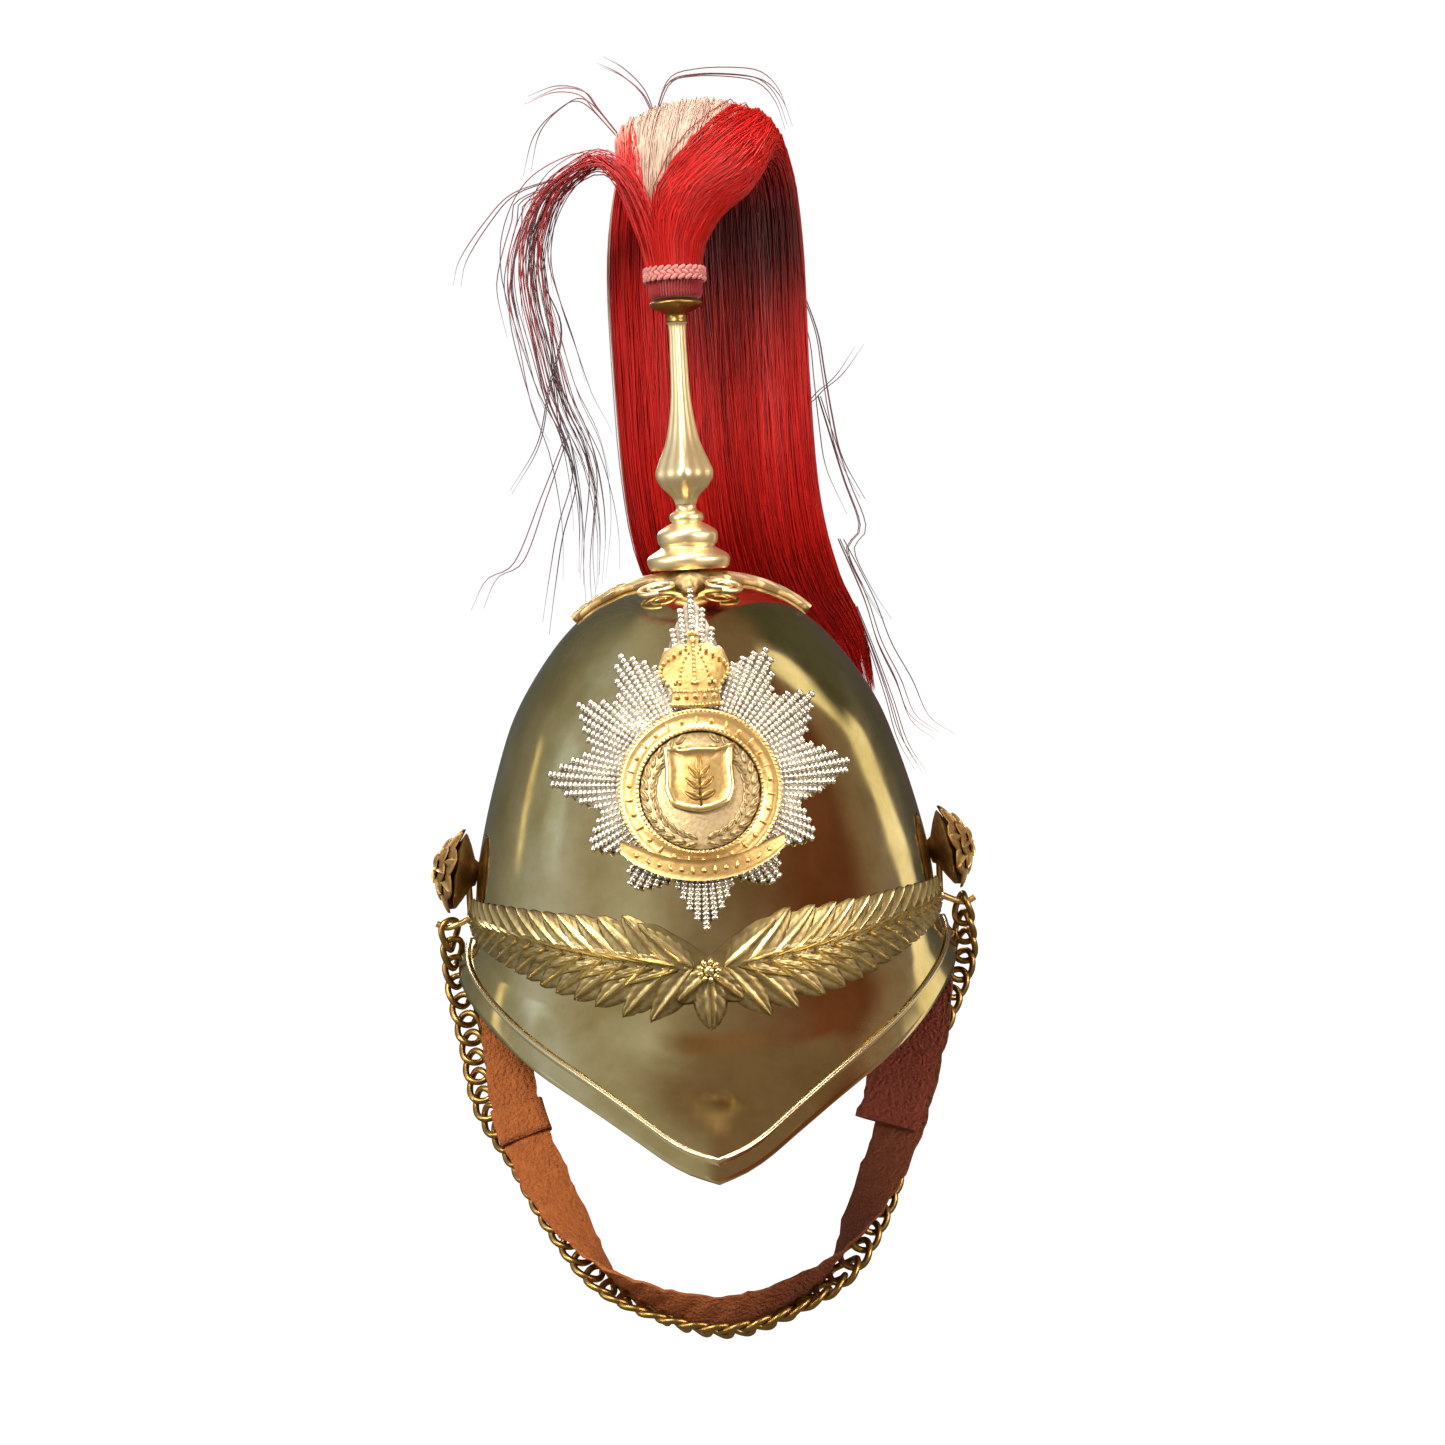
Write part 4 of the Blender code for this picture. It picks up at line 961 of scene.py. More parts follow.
def badge_plate(outline, levels, low):
    """A closed plate on the badge: levels are shares of the outline, with their lift and depth."""
    centre = outline.mean(axis=0)
    sides = len(outline)
    points, depth = [badge_place(*centre, levels[0][1])], [levels[0][2]]
    for share, lift, deep in levels:
        for point in outline:
            points.append(badge_place(*(centre + share * (point - centre)), lift))
            depth.append(deep)
    faces = disc_faces(len(levels), sides)
    foot = len(points)
    for point in outline:
        points.append(badge_place(*point, low))
        depth.append(0.0)
    for k in range(sides):
        n = (k + 1) % sides
        faces.append((foot - sides + k, foot - sides + n, foot + n, foot + k))
    faces.append(tuple(foot + k for k in range(sides)))
    return points, faces, depth


SHIELD_SEAT = 0.0012
outline = mirrored(SHIELD, 64) * [SHIELD_WIDTH, SHIELD_HEIGHT] + [0, SHIELD_RISE]
# Levels of the plate: share of its outline, height over its seat and how bright it is: rubbed wear plus
# painted highlight on the rim and painted shade on the ground inside it
SHIELD_LEVELS = [
    (0.3, 0.0013, 0.35), (0.6, 0.0012, 0.35), (0.80, 0.0009, 0.2),
    (0.86, 0.0016, 0.9), (0.94, 0.0018, 1.0), (1.0, 0.0012, 0.8),
]
shield_levels = [(share, SHIELD_SEAT + high, deep) for share, high, deep in SHIELD_LEVELS]
points, faces, depth = badge_plate(outline, shield_levels, SHIELD_SEAT)
shield = add_mesh("star_shield_plate", points, faces, bright_gilt, sharp=60, depth=depth)
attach(shield, "root")
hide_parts("star_shield")

SPRIG_RELIEF = 0.0013
SPRIG_SEAT = SHIELD_SEAT + 0.0011
leaves = []
sprig_foot = SHIELD_RISE - 0.0075
for up, lean, length in (
    (0.0, 62, 0.0062), (0.0, -62, 0.0062), (0.0036, 50, 0.0066), (0.0036, -50, 0.0066),
    (0.0074, 40, 0.0060), (0.0074, -40, 0.0060), (0.0092, 0, 0.0068),
):
    heading = math.radians(90 + lean)
    place = badge_leaf_place(0.0, sprig_foot + up, heading, SPRIG_SEAT)
    leaves.append(leaf_patch(place, length, 0.0030, SPRIG_RELIEF, veins=3, grid=SMALL_LEAF_GRID))
place = badge_leaf_place(0.0, sprig_foot - 0.003, math.radians(90), SPRIG_SEAT)
leaves.append(
    leaf_patch(place, 0.0135, 0.0011, SPRIG_RELIEF, veins=0, base_width=0.9, grid=SMALL_LEAF_GRID)
)
points, faces, depth = stacked(leaves)
sprig = add_mesh("shield_sprig", points, faces, bright_gilt, sharp=70, depth=depth)
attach(sprig, "root")


# Crown. A gilt crown soldered over the ring: a jewelled band, a cap behind two arches of pellets,
# and a ball on top.
CROWN_WIDTH = 0.0260
CROWN_HEIGHT = 0.0265
CROWN_FOOT = RING_OUTER + 0.0014
CROWN = {
    "x": [0.0, 0.09, 0.05, 0.20, 0.42, 0.50, 0.44, 0.33, 0.36, 0.0],
    "z": [1.0, 0.93, 0.82, 0.84, 0.74, 0.54, 0.36, 0.22, 0.0, -0.04],
}
outline = mirrored(CROWN, 80) * [CROWN_WIDTH, CROWN_HEIGHT] + [0, CROWN_FOOT]
points, faces, depth = badge_plate(
    outline, [(0.3, 0.0019, 0.25), (0.7, 0.0016, 0.2), (0.92, 0.0013, 0.35), (1.0, 0.0009, 0.5)], 0.0
)
crown = add_mesh("crown_cap", points, faces, bright_gilt, sharp=60, depth=depth)
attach(crown, "root")
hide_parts("star_crown")

spots = []


def crown_pellet(x, z, lift, size):
    """Adds a pellet at shares x and z of the crown's width and height."""
    placed = badge_frame(x * CROWN_WIDTH, CROWN_FOOT + z * CROWN_HEIGHT, 0.0, lift)
    spots.append((*placed, size))


SEED_PELLET = (0.0006, 0.0006, 0.0006)
for row in (0.02, 0.20):
    for x in np.linspace(-0.34, 0.34, 15):
        crown_pellet(x, row - 0.03 * math.cos(math.pi * x), 0.0021, SEED_PELLET)
for x, wide in ((-0.26, 0.0013), (-0.13, 0.0009), (0.0, 0.0015), (0.13, 0.0009), (0.26, 0.0013)):
    crown_pellet(x, 0.10, 0.0022, (wide, 0.0011, 0.0012))
for side in (-1, 0, 1):
    for t in np.linspace(0.04, 1, 11):
        x = side * (0.36 + 0.13 * math.sin(math.pi * min(t * 1.25, 1))) * (1 - t**3.2)
        crown_pellet(x, 0.26 + 0.56 * t, 0.0019 + 0.0009 * t, (0.00085, 0.00085, 0.0009))
for side in (-1, 1):
    for t in np.linspace(0.1, 0.9, 7):
        x = side * 0.20 * math.cos(math.pi * t / 2) ** 0.6
        crown_pellet(x, 0.28 + 0.46 * t, 0.0021, SEED_PELLET)
for x, z, size in ((0.0, 0.86, 0.0016), (0.0, 0.955, 0.0012), (-0.055, 0.95, 0.0007), (0.055, 0.95, 0.0007)):
    crown_pellet(x, z, 0.0021, (size, size, size))
for x in (-0.24, 0.0, 0.24):
    for dx, dz in ((0, 0.07), (-0.035, 0.035), (0.035, 0.035)):
        crown_pellet(x + dx, 0.25 + dz, 0.0023, (0.0008, 0.0008, 0.0008))
crown_work = repeat_on_points("crown_work", ball("bead", 8, 6, bright_gilt), spots, bright_gilt)
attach(crown_work, "root")


# Ribbon. A narrow gilt scroll laid over the foot of the ring, with small raised bars along it.
RIBBON_DROP = 0.0270
RIBBON_WIDTH = 0.0075
RIBBON_SPREAD = 0.0290
RIBBON = {
    "x": [0.0, 0.25, 0.5, 0.72, 0.86, 1.0],
    "z": [-0.30, -0.22, 0.0, 0.35, 0.62, 0.95],
    "half": [0.5, 0.5, 0.5, 0.48, 0.44, 0.30],
}
RIBBON_SEAT = RING_THICK + 0.0003


def ribbon_sample(a, b):
    share = 2 * a - 1
    x = share * RIBBON_SPREAD
    middle = smooth_value(RIBBON["x"], RIBBON["z"], abs(share)) * RIBBON_WIDTH - RIBBON_DROP
    half = smooth_value(RIBBON["x"], RIBBON["half"], abs(share)) * RIBBON_WIDTH
    # The raised rims are coloured bright and the lower middle darker: rubbed wear plus painted highlight and
    # painted shade on the relief.
    rim = 1.0 if abs(b) > 0.8 else 0.45
    top = badge_place(x, middle + b * half, RIBBON_SEAT + 0.0004 + 0.0008 * rim)
    return top, badge_place(x, middle + b * half, RIBBON_SEAT), rim * 0.9


points, faces, depth = patch(49, 9, ribbon_sample)
ribbon = add_mesh("star_ribbon_band", points, faces, badge_gilt, sharp=60, depth=depth)
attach(ribbon, "root")
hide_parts("star_ribbon")

RIBBON_BARS = 13
spots = []
for k in range(RIBBON_BARS):
    share = (k - RIBBON_BARS // 2) / 7.4
    x = share * RIBBON_SPREAD
    z = smooth_value(RIBBON["x"], RIBBON["z"], abs(share)) * RIBBON_WIDTH - RIBBON_DROP
    heading = math.pi / 2 - 0.6 * share
    size = (0.0017, 0.0007, 0.0008) if k % 2 else (0.0010, 0.0010, 0.0009)
    spots.append((*badge_frame(x, z, heading, RIBBON_SEAT + 0.0009), size))
ribbon_bars = repeat_on_points("ribbon_bars", ball("bar", 8, 5, badge_gilt), spots, badge_gilt)
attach(ribbon_bars, "root")


# Bosses. A rose of stamped brass at each side, on a post through the skull's wall, with the wire hook
# under it that carries the chain.
BOSS_RADIUS = 0.0190
BOSS_LEVEL = 0.0155
BOSS_STANDOFF = 0.0070
BOSS_LEAN = 12
HOOK_REACH = 0.0140
HOOK_DROP = 0.0224
POST_RADIUS = 0.0035
HOOK_RADIUS = 0.0014
BOSS_SIDES = 32
PETAL_GRID = (11, 9)
# Rows of petals, from the outer one in: number, turn as a share of a step, then their start, height, cup,
# length, width and relief, and their veins, base width and point
PETALS = [
    (8, 0.5, 0.0020, 0.0072, 0.0070, 0.0168, 0.0142, 0.0022, 3, 0.5, 1.3),
    (8, 0.0, 0.0012, 0.0092, 0.0060, 0.0125, 0.0098, 0.0020, 3, 0.5, 1.2),
    (6, 0.0, 0.0006, 0.0108, 0.0020, 0.0066, 0.0060, 0.0016, 0, 0.6, 1.2),
]
# The bud, the dish behind the petals and the post: radius and height
POST_END = 0.0003 - BOSS_STANDOFF
BUD = [(0.0, 0.0125), (0.0022, 0.0122), (0.0034, 0.0108)]
DISH = [
    (0.0036, 0.0070), (0.0165, 0.0008), (0.0160, 0.0), (0.0120, -0.0022), (0.0062, -0.0048),
    (0.0050, POST_END), (0.0, POST_END),
]
boss_gilt = relief_metal("rubbed_boss_brass", "F6D794", "84592A", 0.34, 200.0)


def tube(path, radii, sides):
    """A closed round bar along a path, with a radius at each point."""
    path = np.asarray(path, float)
    count = len(path)
    points = []
    normal = None
    for k in range(count):
        along = unit(path[min(k + 1, count - 1)] - path[max(k - 1, 0)])
        if normal is None:
            normal = unit(np.cross(along, (0.3, 0.9, 0.4)))
        normal = unit(normal - np.dot(normal, along) * along)
        other = np.cross(along, normal)
        radius = radii[k] if np.ndim(radii) else radii
        for c in range(sides):
            turn = 2 * math.pi * c / sides
            points.append(path[k] + radius * (math.cos(turn) * normal + math.sin(turn) * other))
    faces = grid_faces(count, sides, closed=True)
    faces += [tuple(range(sides)), tuple(range(len(points) - 1, len(points) - 1 - sides, -1))]
    return points, faces, [0.8] * len(points)


hook_seats = {}
for label, side in (("left", -1), ("right", 1)):
    lean = math.radians(BOSS_LEAN)
    out = np.array([side * math.cos(lean), 0, math.sin(lean)])
    up = np.array([-side * math.sin(lean), 0, math.cos(lean)])
    forward = np.array([0, -1, 0]) * side
    wall_point = on_dome(side * math.pi / 2, BOSS_LEVEL, 0)
    back = wall_point + BOSS_STANDOFF * out

    def boss_place(heading, start, height, cup, back=back, out=out, up=up, forward=forward):
        ahead = math.cos(heading) * forward + math.sin(heading) * up
        aside = -math.sin(heading) * forward + math.cos(heading) * up

        def place(along, across, lift):
            share = along / BOSS_RADIUS
            deep = height - cup * share**1.6 + lift
            return back + (start + along) * ahead + across * aside + deep * out

        return place

    parts = []
    for number, turned_by, start, height, cup, length, width, relief, veins, base_width, point in PETALS:
        for k in range(number):
            place = boss_place(2 * math.pi * (k + turned_by) / number, start, height, cup)
            parts.append(leaf_patch(
                place, length, width, relief, veins=veins, base_width=base_width, point=point, grid=PETAL_GRID
            ))
    disc = [
        back + deep * out + radius * (math.cos(t) * forward + math.sin(t) * up)
        for radius, deep in BUD + DISH
        for t in np.linspace(0, 2 * math.pi, BOSS_SIDES, endpoint=False)
    ]
    # The bud is coloured bright and the dish behind the petals dark: painted highlight and painted shade,
    # over rubbed wear.
    disc_depth = [1.0] * (len(BUD) * BOSS_SIDES) + [0.2] * (len(DISH) * BOSS_SIDES)
    parts.append((disc, grid_faces(len(BUD + DISH), BOSS_SIDES, closed=True), disc_depth))
    shank = wall_point[0] + side * 0.6 * BOSS_STANDOFF
    foot = wall_point[0] + side * HOOK_REACH
    low = BOSS_LEVEL - HOOK_DROP
    hook = np.array([
        (shank, 0, BOSS_LEVEL - 0.5 * POST_RADIUS),
        (shank, 0, low + 0.40 * HOOK_REACH),
        (shank + 0.15 * (foot - shank), 0, low + 0.22 * HOOK_REACH),
        (foot, 0, low),
        (foot + side * 0.35 * HOOK_REACH, 0, low + 0.14 * HOOK_REACH),
    ])
    parts.append(tube(smooth_path(hook, 26)[0], HOOK_RADIUS, 12))
    hook_seats[side] = hook[3]
    points, faces, depth = stacked(parts)
    boss = add_mesh(f"rose_boss_{label}", points, faces, boss_gilt, sharp=60, depth=depth)
    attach(boss, "root")
    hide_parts(f"boss_{label}")


# Crosspiece. Four acanthus leaves of cast brass that lie on the crown under the plume's foot, with a
# pair of small scrolls in front.
CROSS_REACH = 0.0490
CROSS_FRONT_REACH = 0.0370
CROSS_SEAT = 0.0018
CROSS_RELIEF = 0.0026
SCROLL_STEPS = 46
SCROLL_WIRE = 0.0012
cast_gilt = relief_metal("polished_cast_brass", "FBE8B8", "8A6630", 0.36, 120.0)


def height_on_dome(turn, radius):
    """Height at which the dome has a given radius from the axis."""
    share = radius / plan_radius(turn)
    upper = DOME_LINE[DOME_LINE[:, 0] > 0.2][::-1]
    return SKULL_HEIGHT * float(np.interp(share, upper[:, 1], upper[:, 0]))


def crown_place(x, y, lift):
    """A point over the crown at x and y, raised from the dome."""
    radius = math.hypot(x, y)
    turn = math.atan2(x, -y)
    return on_dome(turn, height_on_dome(turn, max(radius, 1e-5)), CROSS_SEAT + lift)


parts = []
for quarter in range(4):
    heading = quarter * math.pi / 2
    reach = CROSS_FRONT_REACH if quarter == 0 else CROSS_REACH
    ahead = np.array([math.sin(heading), -math.cos(heading)])
    aside = np.array([ahead[1], -ahead[0]])

    def acanthus(a, b, reach=reach, ahead=ahead, aside=aside):
        lobes = 0.72 + 0.28 * abs(math.sin(3.5 * math.pi * a))
        half = (0.0098 * (1 - a) ** 0.55 + 0.0012) * lobes
        x, y = a * reach * ahead + b * half * aside
        rib = math.exp(-((b / 0.16) ** 2))
        flute = 0.5 + 0.5 * math.cos(2 * math.pi * (3.5 * a - 1.2 * abs(b)))
        high = 0.35 + 0.35 * rib + 0.45 * flute * (1 - rib) * (1 - 0.5 * abs(b)) + 0.35 * (1 - a)
        high *= 1 - 0.55 * abs(b) ** 3
        top = crown_place(x, y, 1.35 * CROSS_RELIEF * high - 0.0006)
        # Depth follows the relief height: rubbed wear plus painted highlight on the raised lobes and painted
        # shade in the flutes.
        return top, crown_place(x, y, 0.0001 - CROSS_SEAT), min(max(high, 0), 1)

    parts.append(patch(40, 15, acanthus))
for side in (-1, 1):
    coil = []
    for t in np.linspace(0, 1, SCROLL_STEPS):
        turn = -0.5 * math.pi + 3.3 * math.pi * t
        radius = 0.0085 * (1 - 0.72 * t)
        x = side * (0.0125 + radius * math.cos(turn))
        y = -0.0325 + 0.8 * radius * math.sin(turn)
        coil.append(crown_place(x, y, 0.0013))
    radii = SCROLL_WIRE * (1 - 0.45 * np.linspace(0, 1, SCROLL_STEPS))
    parts.append(tube(coil, radii, 8))
points, faces, depth = stacked(parts)
cross = add_mesh("crown_acanthus", points, faces, cast_gilt, sharp=60, depth=depth)
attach(cross, "root")
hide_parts("crown_cross")


# Foot, stem and cup. Turned brass foot, screwed through the crosspiece; a cast stem with hollow sides
# that swells near its foot; and a shallow cup, darker with age, that the plume stands in.
FOOT_RADIUS = 0.0172
FOOT_HEIGHT = 0.0272
STEM_LENGTH = 0.0765
STEM_BULGE = 0.0123
STEM_TOP = 0.0036
CUP_RADIUS = 0.0110
CUP_HEIGHT = 0.0092
BINDING_RADIUS = 0.0132
BINDING_HEIGHT = 0.0128
GAP = 0.0003
FOOT = {
    "radius": [0.25, 0.25, 0.40, 0.42, 0.36, 0.46, 0.73, 0.73, 0.68, 1.0, 1.0, 0.94],
    "height": [1.0, 0.93, 0.86, 0.77, 0.73, 0.70, 0.58, 0.42, 0.34, 0.20, 0.06, 0.0],
}
STEM = {
    "height": [0.0, 0.04, 0.10, 0.165, 0.235, 0.31, 0.40, 0.58, 0.78, 0.96, 1.0],
    "bulge": [0.10, 0.24, 0.74, 1.0, 0.82, 0.54, 0.31, 0.08, 0.02, 0.0, 0.10],
}
CUP = {
    "radius": [0.80, 1.0, 1.0, 0.86, 0.55, 0.38, 0.40],
    "height": [1.0, 0.88, 0.74, 0.60, 0.42, 0.28, 0.0],
}


def turned(outline, radius, height, level, sides=72, steps=60, shape=None):
    """A closed turned solid from an outline that runs from its top down."""
    line, _ = smooth_path(np.column_stack([outline["radius"], outline["height"]]), steps)
    line[:, 0] *= radius
    line[:, 1] = level + line[:, 1] * height
    points, depth = [(0, 0, line[0, 1])], [0.9]
    for r, z in line:
        for k in range(sides):
            turn = 2 * math.pi * k / sides
            reach = r * (shape(turn, z) if shape else 1.0)
            points.append((reach * math.sin(turn), -reach * math.cos(turn), z))
            depth.append(0.9)
    faces = disc_faces(len(line), sides)
    last = len(points)
    points.append((0, 0, line[-1, 1]))
    depth.append(0.9)
    faces += [(last, last - sides + k, last - sides + (k + 1) % sides) for k in range(sides)]
    return points, faces, depth


foot_level = SKULL_HEIGHT + CROSS_SEAT + CROSS_RELIEF + GAP
points, faces, depth = turned(FOOT, FOOT_RADIUS, FOOT_HEIGHT, foot_level)
foot = add_mesh("plume_foot_turned", points, faces, cast_gilt, sharp=50, depth=depth)
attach(foot, "root")
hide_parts("plume_foot")

stem_level = foot_level + FOOT_HEIGHT + GAP


def hollow_sides(turn, z):
    """Four ridges with hollow faces between them, as a share of the stem's radius."""
    ridge = ((1 + math.cos(4 * turn)) / 2) ** 2.0
    return 0.80 + 0.20 * ridge


stem_outline = {
    "height": STEM["height"][::-1],
    "radius": [(STEM_TOP + bulge * (STEM_BULGE - STEM_TOP)) / STEM_BULGE for bulge in STEM["bulge"][::-1]],
}
points, faces, depth = turned(stem_outline, STEM_BULGE, STEM_LENGTH, stem_level, 96, 90, hollow_sides)
stem = add_mesh("plume_stem_cast", points, faces, cast_gilt, sharp=60, depth=depth)
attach(stem, "root")
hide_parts("plume_stem")

cup_level = stem_level + STEM_LENGTH + GAP
dark_brass = relief_metal("aged_dark_brass", "B08C4E", "3E2A15", 0.30, 220.0)
points, faces, depth = turned(CUP, CUP_RADIUS, CUP_HEIGHT, cup_level)
cup = add_mesh("plume_cup_turned", points, faces, dark_brass, sharp=50, depth=[0.75] * len(points))
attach(cup, "root")
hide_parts("plume_cup")


# Binding. Crimson worsted wound round the root of the hair, and over its upper part a plaited pink cord
# in three rows of stitches.
binding_level = cup_level + CUP_HEIGHT + GAP
binding_top = binding_level + BINDING_HEIGHT


def cloth(name, light, dark, scale, sheen):
    """Dyed yarn: rough and soft, lighter where the fibres stand up, with a fuzz that takes the light."""
    finish, tree, shader, coords = new_finish(name, 0.0, 0.78)
    fuzz = add_node(tree, "ShaderNodeTexNoise", {"Scale": scale, "Detail": 6.0}, {"Vector": coords})
    tone = add_node(
        tree, "ShaderNodeMix", {"data_type": "RGBA", 6: srgb(dark), 7: srgb(light)}, {0: fuzz.outputs[0]}
    )
    tree.links.new(tone.outputs[2], shader.inputs["Base Color"])
    bump = add_node(
        tree, "ShaderNodeBump", {"Strength": 0.6, "Distance": 0.0005}, {"Height": fuzz.outputs[0]}
    )
    tree.links.new(bump.outputs[0], shader.inputs["Normal"])
    shader.inputs["Sheen Weight"].default_value = sheen
    return finish


crimson_yarn = cloth("crimson_worsted", "B3202C", "5E0810", 900.0, 0.35)
pink_cord = cloth("faded_pink_cord", "E09A92", "A83C40", 800.0, 0.4)
THREADS = 56


def wound(turn, z):
    return 1.0 + 0.035 * math.cos(THREADS * turn)


BINDING = {
    "radius": [0.80, 0.90, 0.94, 0.90, 0.86, 0.84, 0.84, 0.78, 0.70],
    "height": [1.0, 0.96, 0.80, 0.60, 0.48, 0.34, 0.14, 0.04, 0.0],
}
points, faces, depth = turned(BINDING, BINDING_RADIUS, BINDING_HEIGHT, binding_level, 224, 30, wound)
binding = add_mesh("plume_binding_yarn", points, faces, crimson_yarn, sharp=70, depth=depth)
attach(binding, "root")
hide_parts("plume_binding")

PLAIT_STITCHES = 26
PLAIT_ROWS = ((0.64, 32), (0.78, -32), (0.92, 32))
spots = []
for row, (height, lean) in enumerate(PLAIT_ROWS):
    for k in range(PLAIT_STITCHES):
        turn = 2 * math.pi * (k + 0.5 * (row % 2)) / PLAIT_STITCHES
        radius = 0.955 * BINDING_RADIUS
        outward = np.array([math.sin(turn), -math.cos(turn), 0])
        level = np.array([math.cos(turn), math.sin(turn), 0])
        ahead = math.cos(math.radians(lean)) * level + math.sin(math.radians(lean)) * np.array([0, 0, 1])
        place = radius * outward + np.array([0, 0, binding_level + height * BINDING_HEIGHT])
        spots.append((place, euler_of(ahead, outward), (0.0021, 0.0010, 0.0009)))
braid = repeat_on_points("binding_plait", ball("stitch", 10, 7, pink_cord), spots, pink_cord)
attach(braid, "root")


# Plume. Long horsehair, dyed red over an undyed white heart. It rises from the binding, parts in
# front, arches over and falls behind the skull. A solid body of locks carries the loose strands.
PLUME = {
    "x": [0.0, 0.0, 0.2, 0.8, 1.3, 1.5, 1.4, 1.4, 1.5, 1.9, 2.9, 4.3, 5.9, 7.3],
    "y": [0.0, 0.0, 0.1, 0.8, 2.6, 3.9, 4.2, 4.3, 4.6, 5.5, 7.3, 8.9, 9.8, 9.9],
    "z": [0.0, 1.0, 3.0, 4.6, 5.5, 3.8, 0.7, -3.8, -8.3, -11.6, -14.2, -16.2, -18.2, -19.9],
    "half": [1.1, 1.3, 2.3, 3.1, 3.3, 3.8, 4.1, 4.1, 4.1, 4.1, 3.9, 3.5, 2.7, 1.4],
    "depth": [1.1, 1.25, 1.5, 1.7, 2.0, 1.6, 1.3, 1.2, 1.2, 1.1, 1.0, 0.9, 0.7, 0.35],
}
PLUME_STEPS = 120
CM = 0.01
chance = np.random.default_rng(20)
sweep = np.column_stack([PLUME[key] for key in ("x", "y", "z", "half", "depth")]) * CM
sweep[:, 2] += binding_top + 0.0004
sweep, _ = smooth_path(sweep, PLUME_STEPS)
sweep_frames = []
for k in range(PLUME_STEPS):
    tangent = unit(sweep[min(k + 1, PLUME_STEPS - 1), :3] - sweep[max(k - 1, 0), :3])
    side = unit(np.array([1, 0, 0]) - tangent[0] * tangent)
    over = np.cross(tangent, side)
    sweep_frames.append(np.concatenate([sweep[k, :3], sweep[k, 3] * side, sweep[k, 4] * over]))
sweep_frames = np.array(sweep_frames)


def in_plume(u, a, b):
    """Points at shares u along the sweep, and a and b across it, where b is -1 on the outer side."""
    u = np.clip(u, 0, 1) * (PLUME_STEPS - 1)
    low = np.minimum(u.astype(int), PLUME_STEPS - 2)
    t = (u - low)[..., None]
    rows = (1 - t) * sweep_frames[low] + t * sweep_frames[low + 1]
    return rows[..., :3] + a[..., None] * rows[..., 3:6] + b[..., None] * rows[..., 6:9]


# Horsehair: smooth, glossy and dyed deep red, each hair a little different. tint blends to undyed
# white, shade varies hair by hair, and a painted shadow darkens the hair that lies inside the fall.
horsehair, tree, shader, coords = new_finish("dyed_horsehair", 0.0, 0.42)
tint, shade, far = (
    add_node(tree, "ShaderNodeAttribute", {"attribute_name": label}).outputs["Fac"]
    for label in ("tint", "shade", "far")
)
streak_map = add_node(tree, "ShaderNodeMapping", {"Scale": (1.0, 1.0, 0.05)}, {"Vector": coords})
streaks = add_node(
    tree, "ShaderNodeTexNoise", {"Scale": 900.0, "Detail": 3.0}, {"Vector": streak_map.outputs[0]}
)
varied = add_node(
    tree, "ShaderNodeMath", {"operation": "MULTIPLY_ADD", 1: 0.5}, {0: streaks.outputs[0], 2: shade}
)
level_shade = add_node(
    tree, "ShaderNodeMapRange", {"From Min": 0.1, "From Max": 1.2}, {"Value": varied.outputs[0]}
)
reds, whites = (
    add_node(
        tree, "ShaderNodeMix", {"data_type": "RGBA", 6: srgb(dark), 7: srgb(light)},
        {0: level_shade.outputs[0]},
    )
    for dark, light in (("7A0507", "D21A15"), ("9E766A", "CFBBA8"))
)
dyed = add_node(
    tree, "ShaderNodeMix", {"data_type": "RGBA"}, {0: tint, 6: reds.outputs[2], 7: whites.outputs[2]}
)
# Painted shadow: the hair is mixed towards near black inside the fall, where the arch keeps the light off it.
deep = add_node(
    tree, "ShaderNodeMix", {"data_type": "RGBA", 7: srgb("2E0206")}, {0: far, 6: dyed.outputs[2]}
)
tree.links.new(deep.outputs[2], shader.inputs["Base Color"])
shader.inputs["Specular IOR Level"].default_value = 0.28


def inner_shadow(u, a, b):
    """How dark the hair is where the arch keeps the light off it: inside its turn, right of the root."""
    turn = np.exp(-(((u - 0.31) / 0.115) ** 2)) * np.clip((a + 0.55) / 0.5, 0, 1)
    return np.clip(b * 3, 0, 1) * (0.12 + 0.80 * turn)


def white_share(u, a, b):
    """How white the hair is: a wedge in front that starts left of the middle and widens to the top."""
    height = np.clip((u - 0.05) / 0.10, 0, 1)
    right_edge = -0.12 + 1.10 * height
    left_edge = -0.16 - 0.90 * height
    wedge = np.clip((right_edge - a) * 9, 0, 1) * np.clip((a - left_edge) * 9, 0, 1)
    front = np.clip(-b * 2.4 + 0.4, 0, 1) * np.clip((u - 0.05) / 0.02, 0, 1)
    fade = 1 - 0.85 * np.clip((u - 0.26) / 0.16, 0, 1)
    return wedge * front * fade


BODY_SIDES = 96
BODY_ROWS = 110
points, tints, shades, arch_shadows = [], [], [], []
round_turn = np.arange(BODY_SIDES) * 2 * math.pi / BODY_SIDES
ridges = 1 + 0.035 * np.cos(round_turn * 17 + 1.3) + 0.03 * np.cos(round_turn * 29 + 4.1)
for k in range(BODY_ROWS):
    u = np.full(BODY_SIDES, k / (BODY_ROWS - 1))
    width = 0.90 * (1 + (ridges - 1) * min(k / 12, 1)) * (1 - 0.25 * max(u[0] - 0.9, 0) / 0.1)
    a, b = width * np.cos(round_turn), width * np.sin(round_turn)
    points += list(in_plume(u, a, b))
    tints += list(white_share(u, a, b))
    shades += list(0.25 + 0.25 * (ridges - 0.93) / 0.14)
    arch_shadows += list(inner_shadow(u, a, b))
faces = grid_faces(BODY_ROWS, BODY_SIDES, closed=True)
faces += [tuple(range(BODY_SIDES)), tuple(range(len(points) - 1, len(points) - 1 - BODY_SIDES, -1))]
